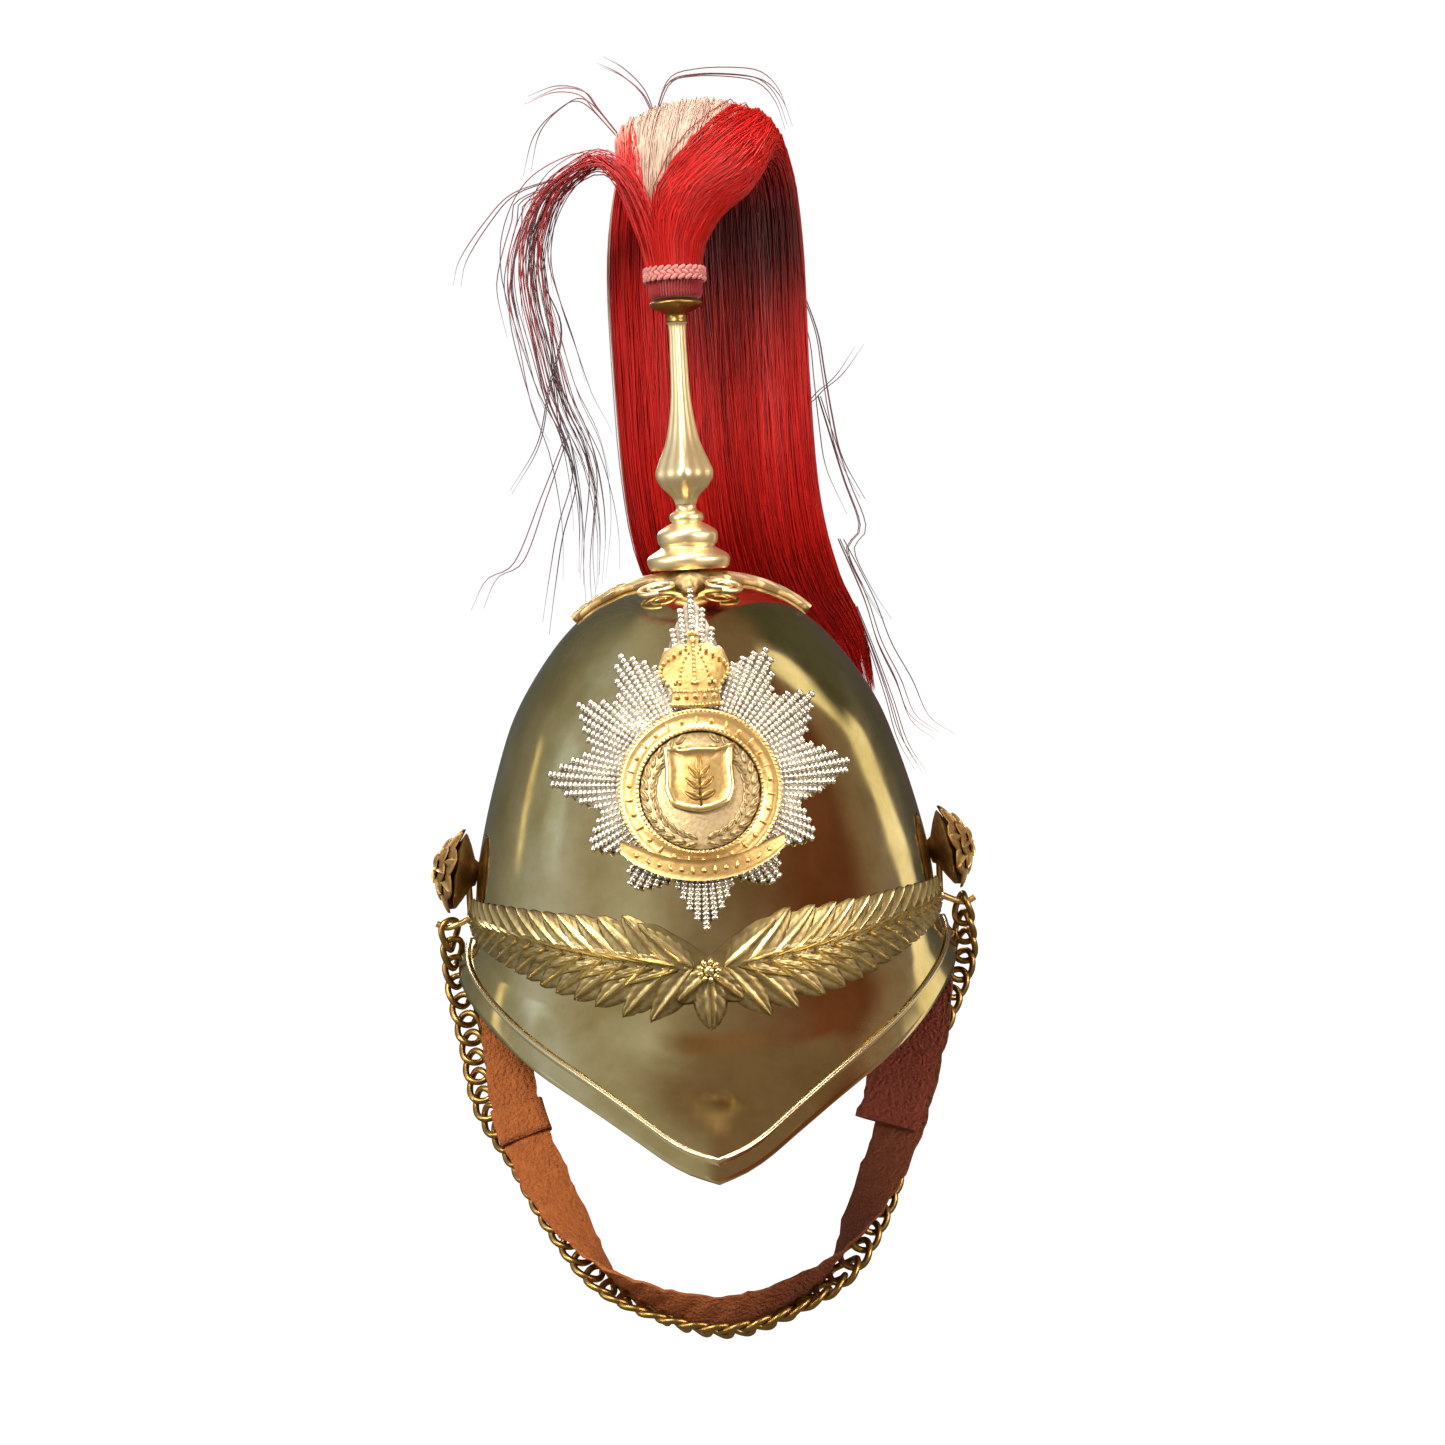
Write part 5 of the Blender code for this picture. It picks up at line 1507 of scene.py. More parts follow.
plume_body = add_mesh("plume_body", points, faces, horsehair, sharp=80, tint=tints, shade=shades, far=arch_shadows)
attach(plume_body, "root")
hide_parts("plume_hair")


def grow_strands(name, paths, thick, finish, **layers):
    """Hairs along their paths, as thin three-sided tubes with tapered tips, in one plain mesh."""
    count, steps = paths.shape[:2]
    mesh = bpy.data.meshes.new(name)
    edges = [(s * steps + k, s * steps + k + 1) for s in range(count) for k in range(steps - 1)]
    mesh.from_pydata(paths.reshape(-1, 3).tolist(), edges, [])
    for label, values in {"thick": thick, **layers}.items():
        layer = mesh.attributes.new(label, "FLOAT", "POINT")
        spread_out = np.broadcast_to(values, (count, steps))
        layer.data.foreach_set("value", spread_out.astype(np.float32).ravel())
    holder = bpy.data.objects.new(name, mesh)
    bpy.context.collection.objects.link(holder)
    tree, given, result = new_tree(name, {"Sides": "NodeSocketInt", "Finish": "NodeSocketMaterial"})
    line = add_node(tree, "GeometryNodeMeshToCurve", None, {0: given.outputs[0]})
    radius = add_node(tree, "GeometryNodeInputNamedAttribute", {"data_type": "FLOAT", "Name": "thick"})
    ring = add_node(
        tree, "GeometryNodeCurvePrimitiveCircle", {"Radius": 1.0}, {"Resolution": given.outputs["Sides"]}
    )
    hairs = add_node(
        tree, "GeometryNodeCurveToMesh", {"Fill Caps": True},
        {0: line.outputs[0], "Profile Curve": ring.outputs[0], "Scale": radius.outputs[0]},
    )
    real = add_node(tree, "GeometryNodeRealizeInstances", None, {0: hairs.outputs[0]})
    soft = add_node(tree, "GeometryNodeSetShadeSmooth", None, {0: real.outputs[0]})
    dressed = add_node(
        tree, "GeometryNodeSetMaterial", None,
        {0: soft.outputs[0], "Material": given.outputs["Finish"]},
    )
    tree.links.new(dressed.outputs[0], result.inputs[0])
    run_tree(holder, tree, {"Sides": 3, "Finish": finish})
    return holder


# Real hairs are about 0.2 mm thick; these are drawn two to three times as thick so that they show.
HAIR = 0.00030
STRAND_ENDS = (0.78, 1.0)
SETTLE = 0.17


def plume_strands(name, count, steps, turns_from, turns_to, reach, tint_of):
    """Hairs that follow the sweep near the rim of its section, and move round it as they rise.

    Their places round the rim run from turns_from at the root to turns_to past the arch, in degrees from
    the right edge; -90 is the outer side.
    """
    share = np.linspace(0, 1, steps)[None, :]
    last = chance.uniform(*STRAND_ENDS, count)[:, None]
    u = last * share
    order = chance.uniform(0, 1, count)[:, None]
    blend = np.clip((u - 0.02) / (SETTLE * chance.uniform(0.75, 1.35, (count, 1))), 0, 1)
    blend = blend * blend * (3 - 2 * blend)
    first_turn = turns_from[0] + order * (turns_from[1] - turns_from[0])
    last_turn = turns_to[0] + order * (turns_to[1] - turns_to[0]) + chance.normal(0, 7, (count, 1))
    phase = chance.uniform(0, 2 * math.pi, (count, 3))
    sway = 2.5 * np.sin(2 * math.pi * 1.3 * u + phase[:, :1])
    sway = sway + 1.2 * np.sin(2 * math.pi * 3.1 * u + phase[:, 1:2])
    turn = np.radians(first_turn + (last_turn - first_turn) * blend + sway * np.clip(u * 6, 0, 1))
    depth = chance.uniform(*reach, (count, 1)) + 0.015 * np.sin(2 * math.pi * 1.7 * u + phase[:, 2:3])
    a, b = depth * np.cos(turn), depth * np.sin(turn)
    paths = in_plume(u, a, b)
    taper = HAIR * chance.uniform(0.7, 1.25, (count, 1)) * np.clip((1.02 - share) * 6, 0.2, 1)
    shade_each = np.repeat(chance.beta(2.2, 1.8, (count, 1)), steps, axis=1)
    piece = grow_strands(
        name, paths, taper, horsehair, tint=tint_of(u, a, b), shade=shade_each, far=inner_shadow(u, a, b)
    )
    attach(piece, "root")


def all_red(u, a, b):
    return np.zeros_like(u)


def undyed(u, a, b):
    whole = np.clip((u - 0.05) / 0.03, 0, 1) * (1 - 0.85 * np.clip((u - 0.26) / 0.16, 0, 1))
    return whole * (1 - 0.40 * np.clip(a, 0, 1))


def undyed_rear(u, a, b):
    return 0.85 * np.clip((u - 0.10) / 0.05, 0, 1) * (1 - np.clip((u - 0.55) / 0.2, 0, 1))


# The red hair parts in front. Most of it sweeps to the right, over the arch and down its right edge;
# the rest goes to the left edge. Undyed hair shows in the parting, over the top, and behind on the left.
plume_strands("plume_right", 760, 34, (-128, 12), (-34, 30), (0.97, 1.04), all_red)
plume_strands("plume_left", 230, 34, (-176, -122), (-186, -158), (0.95, 1.02), all_red)
plume_strands("plume_heart", 620, 34, (-172, -40), (-172, -30), (0.90, 0.97), undyed)
plume_strands("plume_rear", 90, 34, (-190, -150), (-178, -150), (0.97, 1.05), undyed_rear)
plume_strands("plume_fall", 1120, 30, (0, 185), (0, 185), (0.90, 1.0), all_red)

# Tress. A thin lock that leaves the plume at the front, arches out to the left and hangs loose, with
# a few stray hairs that stand off the whole plume. They have weathered to a dull brown.
dull_hair, tree, shader, coords = new_finish("weathered_horsehair", 0.0, 0.5)
shade = add_node(tree, "ShaderNodeAttribute", {"attribute_name": "shade"}).outputs["Fac"]
tone = add_node(
    tree, "ShaderNodeMix", {"data_type": "RGBA", 6: srgb("4A4046"), 7: srgb("D81E1C")}, {0: shade}
)
tree.links.new(tone.outputs[2], shader.inputs["Base Color"])
TRESS = np.array([
    (-0.5, 0.0, 26.6), (-1.0, -0.6, 28.6), (-1.8, -0.9, 30.4), (-2.8, -0.6, 31.3), (-3.9, 0.0, 31.0),
    (-5.0, 0.6, 30.2), (-5.7, 1.0, 29.0), (-6.1, 1.3, 27.4), (-6.0, 1.5, 25.7), (-5.6, 1.6, 23.8),
    (-5.1, 1.8, 21.5), (-4.3, 2.0, 19.4), (-3.9, 2.2, 16.4), (-4.1, 2.4, 13.4),
]) * CM
SPINE_POINTS = 60
spine, _ = smooth_path(TRESS, SPINE_POINTS)
count, steps = 72, 40
ends = chance.uniform(0.36, 1.0, count)
share = np.linspace(0, 1, steps)
paths = np.zeros((count, steps, 3))
for k in range(count):
    u = ends[k] * share * (SPINE_POINTS - 1)
    base = np.column_stack([np.interp(u, np.arange(SPINE_POINTS), spine[:, c]) for c in range(3)])
    opened = np.clip(u / (SPINE_POINTS - 1) * 2.0, 0.42, 1)
    offset = chance.normal(0, 1, 3) * np.array([0.0062, 0.0080, 0.0040])
    wander = 0.0022 * np.column_stack([
        np.sin(chance.uniform(2, 9) * share + chance.uniform(0, 6)) for _ in range(3)
    ])
    paths[k] = base + offset * opened[:, None] + wander * opened[:, None]
taper = HAIR * 0.9 * chance.uniform(0.6, 1.2, (count, 1)) * np.clip((1.03 - share[None, :]) * 5, 0.25, 1)
fade = np.clip(1.35 - 1.7 * share[None, :], 0.0, 1) * chance.uniform(0.75, 1.0, (count, 1))
tress = grow_strands("plume_tress", paths, taper, dull_hair, shade=fade)
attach(tress, "root")

# Stray hairs: depth behind the stem in centimetres, copies, and a route of x and z in centimetres
STRAY_STEPS = 28
STRAYS = [
    (2, 3, [(-0.5, 33.3), (-1.0, 34.5), (-1.9, 35.4), (-2.8, 35.9)]),
    (2, 4, [(-0.5, 33.3), (0.2, 34.8), (1.4, 35.1), (3.1, 35.0), (4.2, 34.7), (4.9, 33.9), (5.3, 32.7)]),
    (2, 3, [(-2.0, 32.6), (-2.9, 33.8), (-3.5, 34.6), (-4.6, 34.8), (-5.8, 34.4)]),
    (2, 2, [(-2.0, 32.6), (-3.5, 34.3), (-4.6, 34.0), (-5.6, 33.0), (-6.1, 31.4)]),
    (2, 3, [(-3.4, 31.3), (-4.8, 30.8), (-6.4, 30.1), (-6.6, 29.3), (-7.1, 27.7), (-7.3, 26.3),
            (-6.9, 24.3)]),
    (2, 2, [(-4.8, 31.0), (-6.6, 30.4), (-7.7, 29.3), (-8.8, 27.7), (-9.1, 26.6)]),
    (2, 3, [(-5.7, 28.5), (-5.4, 24.4), (-5.0, 21.5), (-4.4, 20.1), (-4.0, 18.5), (-4.4, 15.4),
            (-4.4, 13.0)]),
    (2, 2, [(-5.6, 26.5), (-5.0, 24.6), (-5.7, 22.0), (-6.3, 19.7), (-7.6, 17.7)]),
    (2, 3, [(-5.4, 23.6), (-5.1, 20.1), (-4.6, 18.5), (-5.3, 16.2), (-5.7, 14.3), (-6.1, 12.1)]),
    (2, 2, [(-5.0, 20.0), (-6.1, 17.4), (-7.3, 14.7), (-8.5, 14.0), (-9.2, 12.7)]),
    (5, 2, [(4.6, 24.0), (5.3, 21.5), (6.2, 22.1), (7.0, 22.8), (7.9, 24.1)]),
    (5, 4, [(5.2, 27.0), (6.0, 24.3), (6.2, 22.5), (6.4, 20.5), (6.7, 18.6), (7.6, 16.6)]),
    (6, 3, [(6.2, 21.5), (7.2, 17.9), (7.9, 15.6), (7.3, 14.6), (8.0, 12.8), (8.8, 11.4)]),
    (9, 4, [(7.0, 15.1), (8.1, 12.4), (8.7, 10.3), (9.5, 8.5), (10.1, 6.8), (11.2, 5.9)]),
    (9, 4, [(7.6, 12.0), (8.4, 9.6), (9.0, 7.6), (9.5, 5.7), (10.3, 4.2)]),
]
paths = []
for depth_y, copies, route in STRAYS:
    line, _ = smooth_path(np.array([(x, depth_y, z) for x, z in route]) * CM, STRAY_STEPS)
    for _ in range(copies):
        spread = chance.normal(0, 0.0016, 3)[None, :] * np.linspace(0.4, 1.6, STRAY_STEPS)[:, None]
        paths.append(line + spread)
paths = np.array(paths)
taper = HAIR * 0.9 * np.clip((1.05 - np.linspace(0, 1, STRAY_STEPS)[None, :]) * 3, 0.3, 1)
tones = chance.uniform(0, 0.25, (len(paths), 1))
strays = grow_strands("plume_strays", paths, taper, dull_hair, shade=tones)
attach(strays, "root")


# Chin strap. A band of thick brown leather, rough side out, that hangs from inside the skull in one
# loop; its edges are worn and wavy, and its colour deepens to the right.
STRAP_ROUTE = {
    "x": [-9.35, -9.48, -9.45, -8.85, -8.50, -7.70, -6.15, -3.9, 0.0, 3.8, 5.9, 7.5, 8.5, 9.35,
          9.60, 9.48, 9.35],
    "y": [0.3, 0.3, 0.3, -0.8, -2.4, -4.0, -5.8, -7.3, -8.0, -7.3, -5.8, -4.0, -2.4, -0.8,
          0.3, 0.3, 0.3],
    "z": [0.6, -1.4, -3.0, -5.0, -7.4, -9.6, -12.2, -14.5, -15.7, -14.5, -12.2, -9.6, -7.4, -5.0,
          -3.0, -1.4, 0.6],
    "roll": [0, 0, -25, -55, -65, -60, -20, 35, 62, 40, -15, -50, -55, -50, -20, 0, 0],
    "out": [0, 0, 1.30, 0.95, 0.80, 0.52, 0.52, 0.50, 0.48, 0.60, 0.58, 0.52, 0.50, 0.65,
            1.40, 0, 0],
    "aside": [0, 0, -0.5, -1.2, -1.2, -0.5, 0, 0.25, 0.3, 0.25, 0, 0, 0, -0.3, -0.4, 0, 0],
}
CHAIN_FIRST_ROW = 2
STRAP_WIDTH = 0.0200
STRAP_THICK = 0.0025
STRAP_STEPS = 150
BAND_COLUMNS = 9


def band_frames(rows):
    """Place, tangent, outer normal and lower side of a band at each row of x, y, z and roll."""
    frames = []
    for k, row in enumerate(rows):
        tangent = unit(rows[min(k + 1, len(rows) - 1)][:3] - rows[max(k - 1, 0)][:3])
        across = unit(np.array([row[0], 0, min(row[2], 0)]) + 1e-9)
        outward = unit(across - np.dot(across, tangent) * tangent)
        roll = math.radians(row[3])
        normal = math.cos(roll) * outward + math.sin(roll) * np.cross(outward, tangent)
        frames.append((row[:3], tangent, normal, np.cross(tangent, normal)))
    return frames


route = np.column_stack([STRAP_ROUTE[key] for key in ("x", "y", "z")]) * CM
route_rows = np.column_stack([route, STRAP_ROUTE["roll"]])
strap_frames = band_frames(smooth_path(route_rows, STRAP_STEPS)[0])


def rough_leather(name, light, dark, deep):
    """Vegetable-tanned leather, flesh side: matt, fibrous and stained, darker to the right."""
    finish, tree, shader, coords = new_finish(name, 0.0, 0.82)
    stain = add_node(
        tree, "ShaderNodeTexNoise", {"Scale": 210.0, "Detail": 9.0, "Roughness": 0.8}, {"Vector": coords}
    )
    tone = add_node(
        tree, "ShaderNodeMix", {"data_type": "RGBA", 6: srgb(dark), 7: srgb(light)}, {0: stain.outputs[0]}
    )
    place = add_node(tree, "ShaderNodeSeparateXYZ", None, {0: coords})
    right = add_node(
        tree, "ShaderNodeMapRange", {"From Min": -0.055, "From Max": 0.03, "To Min": 0.0, "To Max": 0.85},
        {"Value": place.outputs[0]},
    )
    # Darker towards the right: mixes towards the deep colour along x.
    right_darkened = add_node(
        tree, "ShaderNodeMix", {"data_type": "RGBA", 7: srgb(deep)}, {0: right.outputs[0], 6: tone.outputs[2]}
    )
    tree.links.new(right_darkened.outputs[2], shader.inputs["Base Color"])
    nap = add_node(tree, "ShaderNodeTexNoise", {"Scale": 700.0, "Detail": 5.0}, {"Vector": coords})
    cracks = add_node(
        tree, "ShaderNodeTexVoronoi", {"Scale": 320.0, "feature": "DISTANCE_TO_EDGE"}, {"Vector": coords}
    )
    mixed = add_node(
        tree, "ShaderNodeMath",
        {"operation": "MULTIPLY_ADD", 1: 0.6}, {0: cracks.outputs[0], 2: nap.outputs[0]},
    )
    bump = add_node(
        tree, "ShaderNodeBump", {"Strength": 1.0, "Distance": 0.0016}, {"Height": mixed.outputs[0]}
    )
    tree.links.new(bump.outputs[0], shader.inputs["Normal"])
    return finish


strap_leather = rough_leather("rough_tan_leather", "CC7430", "6E2F0E", "642C15")


def leather_band(frames, half_low, half_high, thick, lift, wave):
    """A closed band with wavy edges; the half widths reach to its upper and its lower edge."""
    across = np.linspace(-1, 1, BAND_COLUMNS)
    top, bottom = [], []
    for k, (place, _, normal, edge) in enumerate(frames):
        for s in across:
            reach = half_high if s > 0 else half_low
            ragged = wave * (math.sin(0.9 * k + 2 * s) + 0.6 * math.sin(2.3 * k + 5 * s)) * abs(s)
            middle = place + (s * reach + ragged) * edge
            swell = 0.5 * thick * (1 - 0.55 * abs(s) ** 4)
            uneven = 0.24 * thick * math.sin(1.7 * k + 3.1 * s)
            uneven += 0.12 * thick * math.sin(2.9 * k - 4.7 * s)
            top.append(middle + (lift + swell + uneven) * normal)
            bottom.append(middle + (lift - swell + 0.5 * uneven) * normal)
    rows = len(frames)
    count = len(top)
    faces = grid_faces(rows, BAND_COLUMNS)
    faces += [tuple(count + index for index in reversed(face)) for face in faces]
    rim = rim_of(rows, BAND_COLUMNS)
    for here, following in zip(rim, rim[1:] + rim[:1]):
        faces.append((following, here, count + here, count + following))
    return top + bottom, faces


points, faces = leather_band(strap_frames, STRAP_WIDTH / 2, STRAP_WIDTH / 2, STRAP_THICK, 0.0, 0.0004)
strap = add_mesh("chin_strap_leather", points, faces, strap_leather, sharp=60)
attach(strap, "root")
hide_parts("chin_strap")

# Keeper and tab. The keeper is a leather sleeve on the left of the strap; the tab is a flap of thinner
# leather, redder and cracked, that hangs on the strap's inner face at the right.
KEEPER_THICK = 0.0016
KEEPER_FOOT = -0.0925
KEEPER_TOP = -0.0790
KEEPER_SIDES = 40
keeper_frames = [
    place_frame for place_frame in strap_frames
    if place_frame[0][0] < 0 and KEEPER_FOOT < place_frame[0][2] < KEEPER_TOP
]
loop = []
for place, _, normal, edge in keeper_frames:
    for turn in np.linspace(0, 2 * math.pi, KEEPER_SIDES, endpoint=False):
        c, s = math.cos(turn), math.sin(turn)
        width = math.copysign(abs(c) ** 0.25, c) * (STRAP_WIDTH / 2 + 0.0003)
        height = math.copysign(abs(s) ** 0.45, s) * (STRAP_THICK / 2 + 0.0007)
        loop.append(place + width * edge + height * normal)
faces = grid_faces(len(keeper_frames), KEEPER_SIDES, closed=True)
keeper = add_mesh("strap_keeper_loop", loop, faces, strap_leather, sharp=60)
sleeve = keeper.modifiers.new("Sleeve", "SOLIDIFY")
sleeve.thickness = 0.6 * KEEPER_THICK
sleeve.offset = 1
keep_result(keeper)
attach(keeper, "root")
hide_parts("strap_keeper")

TAB_TOP = -0.046
TAB_FOOT = -0.096
tab_leather = rough_leather("cracked_red_leather", "A04A2C", "552012", "7C3420")
TAB_THICK = 0.0018
tab_frames = [
    place_frame for place_frame in strap_frames
    if place_frame[0][0] > 0 and TAB_FOOT < place_frame[0][2] < TAB_TOP
]
points, faces = leather_band(tab_frames, 0.0085, 0.0185, TAB_THICK, -STRAP_THICK / 2 - 0.0019, 0.0006)
tab = add_mesh("strap_tab_leather", points, faces, tab_leather, sharp=60)
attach(tab, "root")
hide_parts("strap_tab")


# Chin chain. A curb chain of round brass wire, dark with age, from hook to hook along the strap's
# outer face. Each link is twisted so that it lies flat and holds the next one like it.
LINK_PITCH = 0.0086
LINK_WIRE = 0.0014
LINK_ROLL = -36
LINK_LENGTH = 0.0163
LINK_WIDTH_END = 0.0125
LINK_WIDTH_CHIN = 0.0150
LINK_TILT = 0.0006
LINK_STEPS = 28
WIRE_SIDES = 10
frames = band_frames(route_rows)
path = []
for k in range(CHAIN_FIRST_ROW, len(route_rows) - CHAIN_FIRST_ROW):
    place, _, normal, edge = frames[k]
    shift = STRAP_ROUTE["out"][k] * CM * normal + STRAP_ROUTE["aside"][k] * CM * edge
    path.append([*(place + shift), STRAP_ROUTE["roll"][k]])
ends = []
for side, following in ((-1, path[0]), (1, path[-1])):
    seat = hook_seats[side] + np.array([0, 0, HOOK_RADIUS + 2 * GAP + LINK_WIRE])
    ends.append([*(seat + (LINK_LENGTH / 2 - LINK_WIRE) * unit(np.array(following[:3]) - seat)), 0])
chain_route = np.array([ends[0]] + path + [ends[1]])
_, chain_length = smooth_path(chain_route, 600)
link_count = round(chain_length / LINK_PITCH) + 1
link_frames = band_frames(smooth_path(chain_route, link_count)[0])
links = []
for k, (place, tangent, normal, edge) in enumerate(link_frames):
    middle = 1 - abs(2 * k / (link_count - 1) - 1)
    width = LINK_WIDTH_END + (LINK_WIDTH_CHIN - LINK_WIDTH_END) * min(1.6 * middle, 1)
    half_length, half_width = LINK_LENGTH / 2 - LINK_WIRE, width / 2 - LINK_WIRE
    roll = math.radians(LINK_ROLL)
    rolled_edge = math.cos(roll) * edge + math.sin(roll) * normal
    rolled_normal = math.cos(roll) * normal - math.sin(roll) * edge
    line = []
    for j in range(LINK_STEPS):
        turn = 2 * math.pi * (j + 0.5) / LINK_STEPS
        line.append(
            place
            + half_length * math.cos(turn) * tangent
            + half_width * math.sin(turn) * rolled_edge
            + (LINK_WIRE * math.sin(2 * turn) + LINK_TILT * math.cos(turn)) * rolled_normal
        )
    points = []
    for j in range(LINK_STEPS):
        along = unit(line[(j + 1) % LINK_STEPS] - line[j - 1])
        outward = unit(line[j] - place)
        first = unit(outward - np.dot(outward, along) * along)
        second = np.cross(along, first)
        for c in range(WIRE_SIDES):
            turn = 2 * math.pi * c / WIRE_SIDES
            points.append(line[j] + LINK_WIRE * (math.cos(turn) * first + math.sin(turn) * second))
    links.append((points, looped_faces(LINK_STEPS, WIRE_SIDES), [0.75] * len(points)))
points, faces, depth = stacked(links)
chain = add_mesh("chin_chain_links", points, faces, dark_brass, sharp=80, depth=depth)
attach(chain, "root")
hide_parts("chin_chain")


# Studio. A white ground behind, a pale floor, and soft lamps from above, in front and behind. The room
# that the polished brass mirrors is grey on the left and warm on the right, with bright window strips.
room = bpy.data.worlds.new("studio_room")
bpy.context.scene.world = room
room.use_nodes = True
room.cycles.sampling_method = "MANUAL"
room.cycles.sample_map_resolution = 1024
tree = room.node_tree
tree.nodes.clear()
way = add_node(tree, "ShaderNodeTexCoord").outputs["Generated"]
way_parts = add_node(tree, "ShaderNodeSeparateXYZ", None, {0: way})
frontward = add_node(tree, "ShaderNodeMath", {"operation": "MULTIPLY", 1: -1.0}, {0: way_parts.outputs[1]})
azimuth = add_node(
    tree, "ShaderNodeMath", {"operation": "ARCTAN2"}, {0: way_parts.outputs[0], 1: frontward.outputs[0]}
)
elevation = add_node(tree, "ShaderNodeMath", {"operation": "ARCSINE"}, {0: way_parts.outputs[2]})
turn_share = add_node(
    tree, "ShaderNodeMath",
    {"operation": "MULTIPLY_ADD", 1: 0.5 / math.pi, 2: 0.5}, {0: azimuth.outputs[0]},
)
# The walls, by azimuth in degrees from the front to the right
WALLS = [
    (-180, "696562"), (-160, "62655F"), (-140, "737065"), (-130, "817E73"), (-120, "97948A"),
    (-110, "A0A2A0"), (-100, "B3B5BC"), (-88, "B6B7BC"), (-75, "AEAAA6"), (-60, "A69E91"),
    (-45, "B1AEA6"), (-33, "B3AEA6"), (-20, "9E9387"), (-5, "8B7C70"), (15, "816C5D"),
    (40, "79594B"), (55, "734531"), (85, "693F2C"), (97, "876F5D"), (120, "877A72"),
    (135, "655E56"), (145, "504F48"), (165, "544743"), (180, "696562"),
]
walls = add_node(tree, "ShaderNodeValToRGB", None, {0: turn_share.outputs[0]})
stops = walls.color_ramp.elements
stops[0].position, stops[1].position = 0.0, 1.0
for degrees, _ in WALLS[1:-1]:
    stops.new(degrees / 360 + 0.5)
for stop, (_, code) in zip(stops, WALLS):
    stop.color = srgb(code)
current = walls.outputs[0]
# Panels: azimuth, elevation, lean per degree, half sizes and edge, in degrees, then colour and strength
PANELS = [
    (4, 58, 0.0, 27, 32, 11, "81634B", 1.0),
    (-94, 20, 0.0, 7, 8, 4, "CCD6EA", 1.0),
    (-118, 12, -0.3, 1.8, 6, 1.6, "FFF0CC", 1.1),
    (121, 12, -0.46, 6.6, 48, 1.8, "FFF0CE", 1.15),
    (138, 46, 0.0, 24, 26, 5, "524F40", 1.0),
    (0, -60, 0.0, 400, 38, 12, "8E8676", 1.0),
]
for centre_az, centre_el, lean, half_az, half_el, soft_edge, code, strength in PANELS:
    leaning = add_node(
        tree, "ShaderNodeMath", {"operation": "MULTIPLY_ADD", 1: -lean, 2: math.radians(lean * centre_el)},
        {0: elevation.outputs[0]},
    )
    straight = add_node(
        tree, "ShaderNodeMath", {"operation": "ADD"}, {0: azimuth.outputs[0], 1: leaning.outputs[0]}
    )
    masks = []
    for source, centre, half in ((straight, centre_az, half_az), (elevation, centre_el, half_el)):
        offset = add_node(
            tree, "ShaderNodeMath",
            {"operation": "SUBTRACT", 1: math.radians(centre)}, {0: source.outputs[0]},
        )
        size = add_node(tree, "ShaderNodeMath", {"operation": "ABSOLUTE"}, {0: offset.outputs[0]})
        masks.append(add_node(
            tree, "ShaderNodeMapRange",
            {"interpolation_type": "SMOOTHSTEP", "From Min": math.radians(half - soft_edge),
             "From Max": math.radians(half + soft_edge), "To Min": 1.0, "To Max": 0.0},
            {"Value": size.outputs[0]},
        ))
    both = add_node(
        tree, "ShaderNodeMath", {"operation": "MULTIPLY"}, {0: masks[0].outputs[0], 1: masks[1].outputs[0]}
    )
    red, green, blue, _ = srgb(code)
    tone = (red * strength, green * strength, blue * strength, 1)
    current = add_node(
        tree, "ShaderNodeMix", {"data_type": "RGBA", 7: tone}, {0: both.outputs[0], 6: current}
    ).outputs[2]
# The roof, pale on the left and brown from the middle to the right
roof = add_node(
    tree, "ShaderNodeMapRange", {"interpolation_type": "SMOOTHSTEP", "From Min": 0.76, "From Max": 0.92},
    {"Value": way_parts.outputs[2]},
)
roof_right = add_node(
    tree, "ShaderNodeMapRange", {"interpolation_type": "SMOOTHSTEP", "From Min": -0.34, "From Max": 0.02},
    {"Value": way_parts.outputs[0]},
)
roof_tone = add_node(
    tree, "ShaderNodeMix",
    {"data_type": "RGBA", 6: srgb("A49E90"), 7: srgb("7A6350")}, {0: roof_right.outputs[0]},
)
current = add_node(
    tree, "ShaderNodeMix", {"data_type": "RGBA"}, {0: roof.outputs[0], 6: current, 7: roof_tone.outputs[2]}
).outputs[2]
lit = add_node(tree, "ShaderNodeBackground", {"Strength": 1.0}, {"Color": current})
plain = add_node(tree, "ShaderNodeBackground", {"Color": (1, 1, 1, 1), "Strength": 1.0})
seen = add_node(tree, "ShaderNodeLightPath").outputs["Is Camera Ray"]
choice = add_node(tree, "ShaderNodeMixShader", None, {0: seen, 1: lit.outputs[0], 2: plain.outputs[0]})
add_node(tree, "ShaderNodeOutputWorld", None, {0: choice.outputs[0]})

white_floor = bpy.data.materials.new("pale_floor")
white_floor.use_nodes = True
floor_shader = white_floor.node_tree.nodes["Principled BSDF"]
floor_shader.inputs["Base Color"].default_value = (0.9, 0.9, 0.9, 1)
floor_shader.inputs["Emission Color"].default_value = (1, 1, 1, 1)
floor_shader.inputs["Emission Strength"].default_value = 0.9
FLOOR = -0.45
FLOOR_HALF = 9
corners = [(x * FLOOR_HALF, y * FLOOR_HALF, FLOOR) for x, y in ((-1, -1), (1, -1), (1, 1), (-1, 1))]
floor = add_mesh("floor", corners, [(0, 1, 2, 3)], white_floor)
floor.visible_glossy = False
floor.visible_diffuse = False
floor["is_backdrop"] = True

# The lamps light every piece but the skull, which only mirrors the room: in the photograph its polish
# shows the room and no lamp.
lamp_lit = bpy.data.collections.new("lamp_lit")
for thing in list(bpy.data.objects):
    if thing.type == "MESH" and thing not in (skull, floor):
        lamp_lit.objects.link(thing)
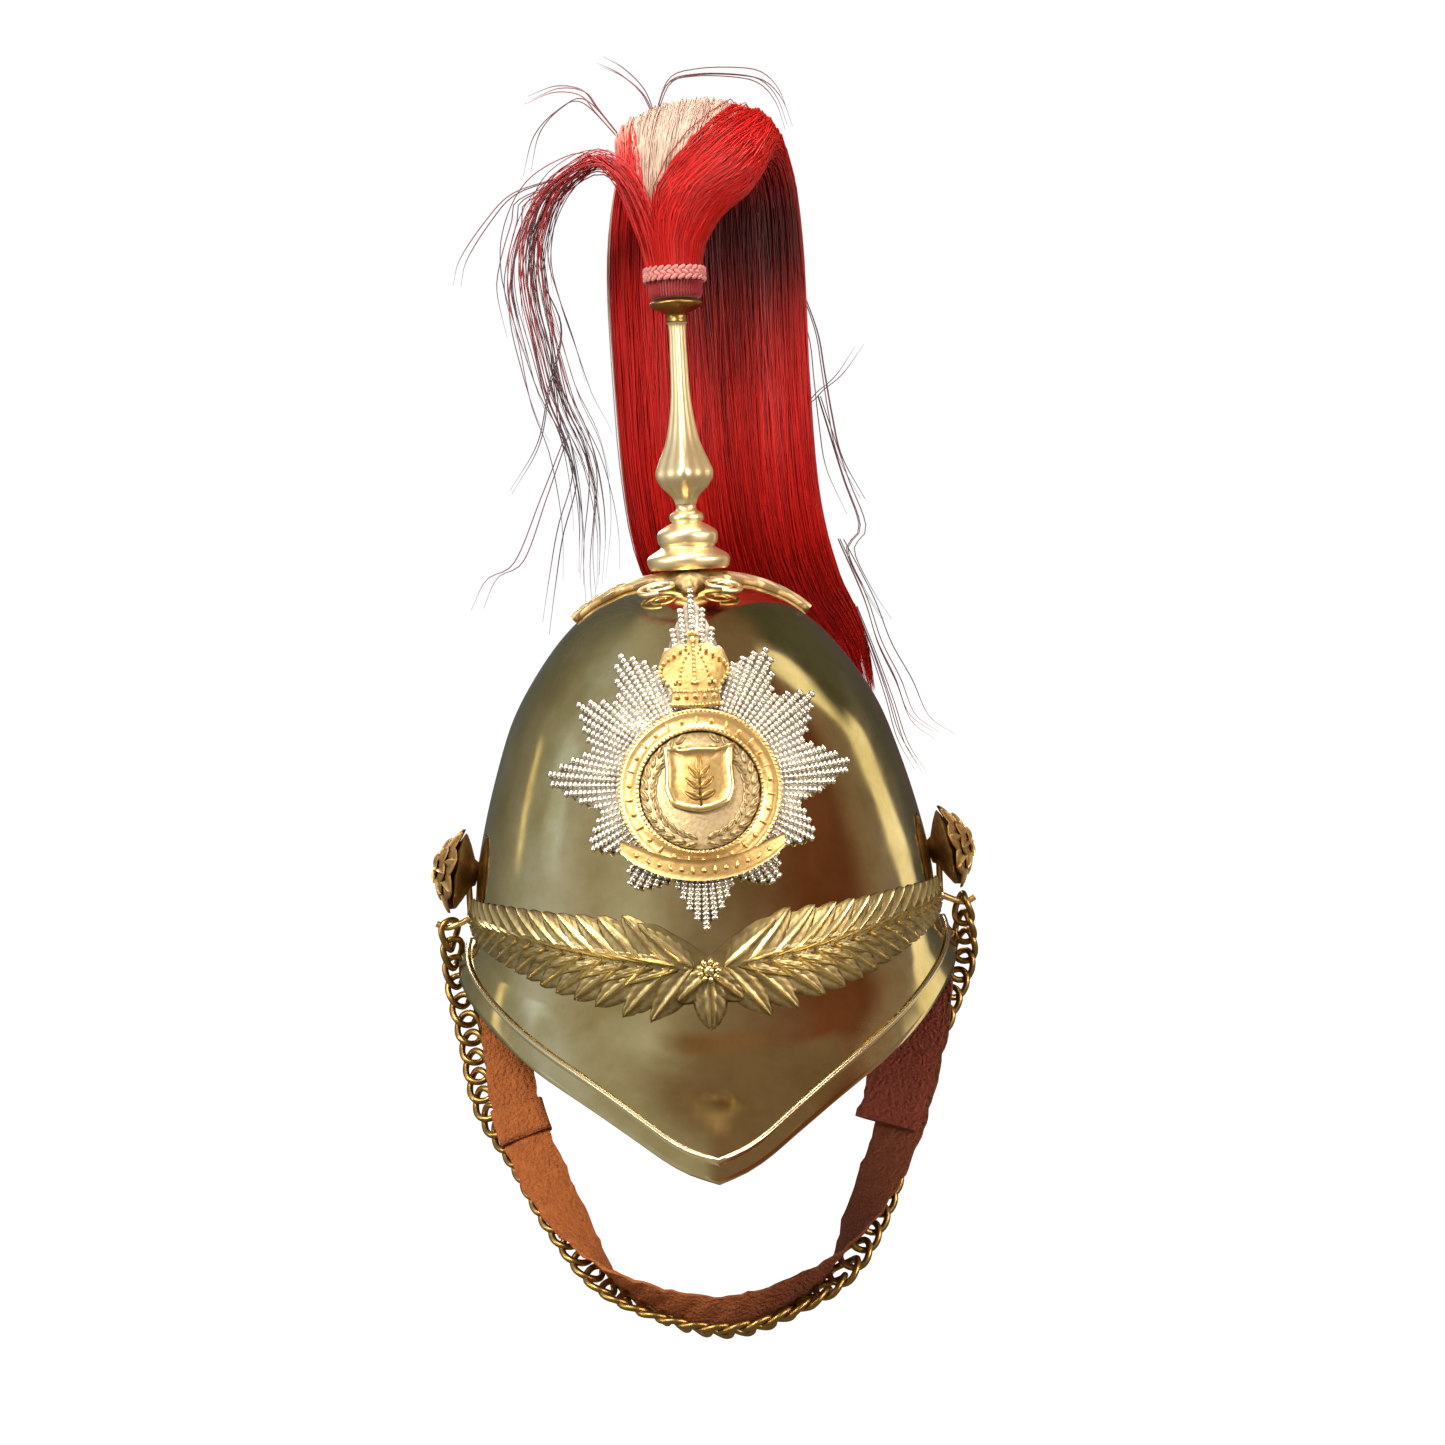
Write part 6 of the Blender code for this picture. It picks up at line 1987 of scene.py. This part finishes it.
# Lamps: name, place, size, power and colour
LAMPS = [
    ("key_lamp", (-0.75, -1.15, 1.25), 0.55, 33.0, (1.0, 0.96, 0.88)),
    ("fill_lamp", (1.25, -1.30, 0.55), 0.8, 20.0, (1.0, 0.93, 0.84)),
    ("top_lamp", (0.10, -0.15, 1.60), 0.7, 24.0, (1.0, 0.98, 0.94)),
    ("left_lamp", (-1.60, -0.75, 0.35), 0.5, 9.0, (1.0, 0.95, 0.86)),
    ("right_lamp", (1.60, -0.75, 0.35), 0.5, 9.0, (1.0, 0.93, 0.84)),
    ("back_lamp", (-0.5, 1.5, 0.9), 0.9, 16.0, (1.0, 0.97, 0.92)),
]
for name, place, size, power, tint_of_lamp in LAMPS:
    lamp = bpy.data.lights.new(name, "AREA")
    lamp.shape = "DISK"
    lamp.size = size
    lamp.energy = power
    lamp.color = tint_of_lamp
    holder = bpy.data.objects.new(name, lamp)
    holder.location = place
    aim = Vector((0, 0, 0.08)) - Vector(place)
    holder.rotation_euler = aim.to_track_quat("-Z", "Y").to_euler()
    holder.visible_camera = False
    holder.light_linking.receiver_collection = lamp_lit
    bpy.context.collection.objects.link(holder)

CAMERA_PITCH = math.radians(4.07)
CAMERA_ROLL = math.radians(2.8)
CAMERA_YAW = math.radians(0.60)
CAMERA_PLACE = (0, -1.05, 0.15)
SENSOR = 36.0
FRAME_PIXELS = 1445
FOCAL_PIXELS = 2467
level_right = Vector((math.cos(CAMERA_YAW), -math.sin(CAMERA_YAW), 0))
level_ahead = Vector((math.sin(CAMERA_YAW), math.cos(CAMERA_YAW), 0))
straight_up = Vector((0, 0, 1))
ahead = math.cos(CAMERA_PITCH) * level_ahead - math.sin(CAMERA_PITCH) * straight_up
lifted = math.sin(CAMERA_PITCH) * level_ahead + math.cos(CAMERA_PITCH) * straight_up
right = math.cos(CAMERA_ROLL) * level_right - math.sin(CAMERA_ROLL) * lifted
above = math.cos(CAMERA_ROLL) * lifted + math.sin(CAMERA_ROLL) * level_right
lens = bpy.data.cameras.new("photo_camera")
lens.sensor_width = SENSOR
lens.lens = SENSOR * FOCAL_PIXELS / FRAME_PIXELS
camera = bpy.data.objects.new("photo_camera", lens)
camera_turn = Matrix((right, above, -ahead)).transposed().to_4x4()
camera.matrix_world = Matrix.Translation(CAMERA_PLACE) @ camera_turn
bpy.context.collection.objects.link(camera)
bpy.context.scene.camera = camera
bpy.context.scene.view_settings.view_transform = "Standard"

low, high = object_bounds()
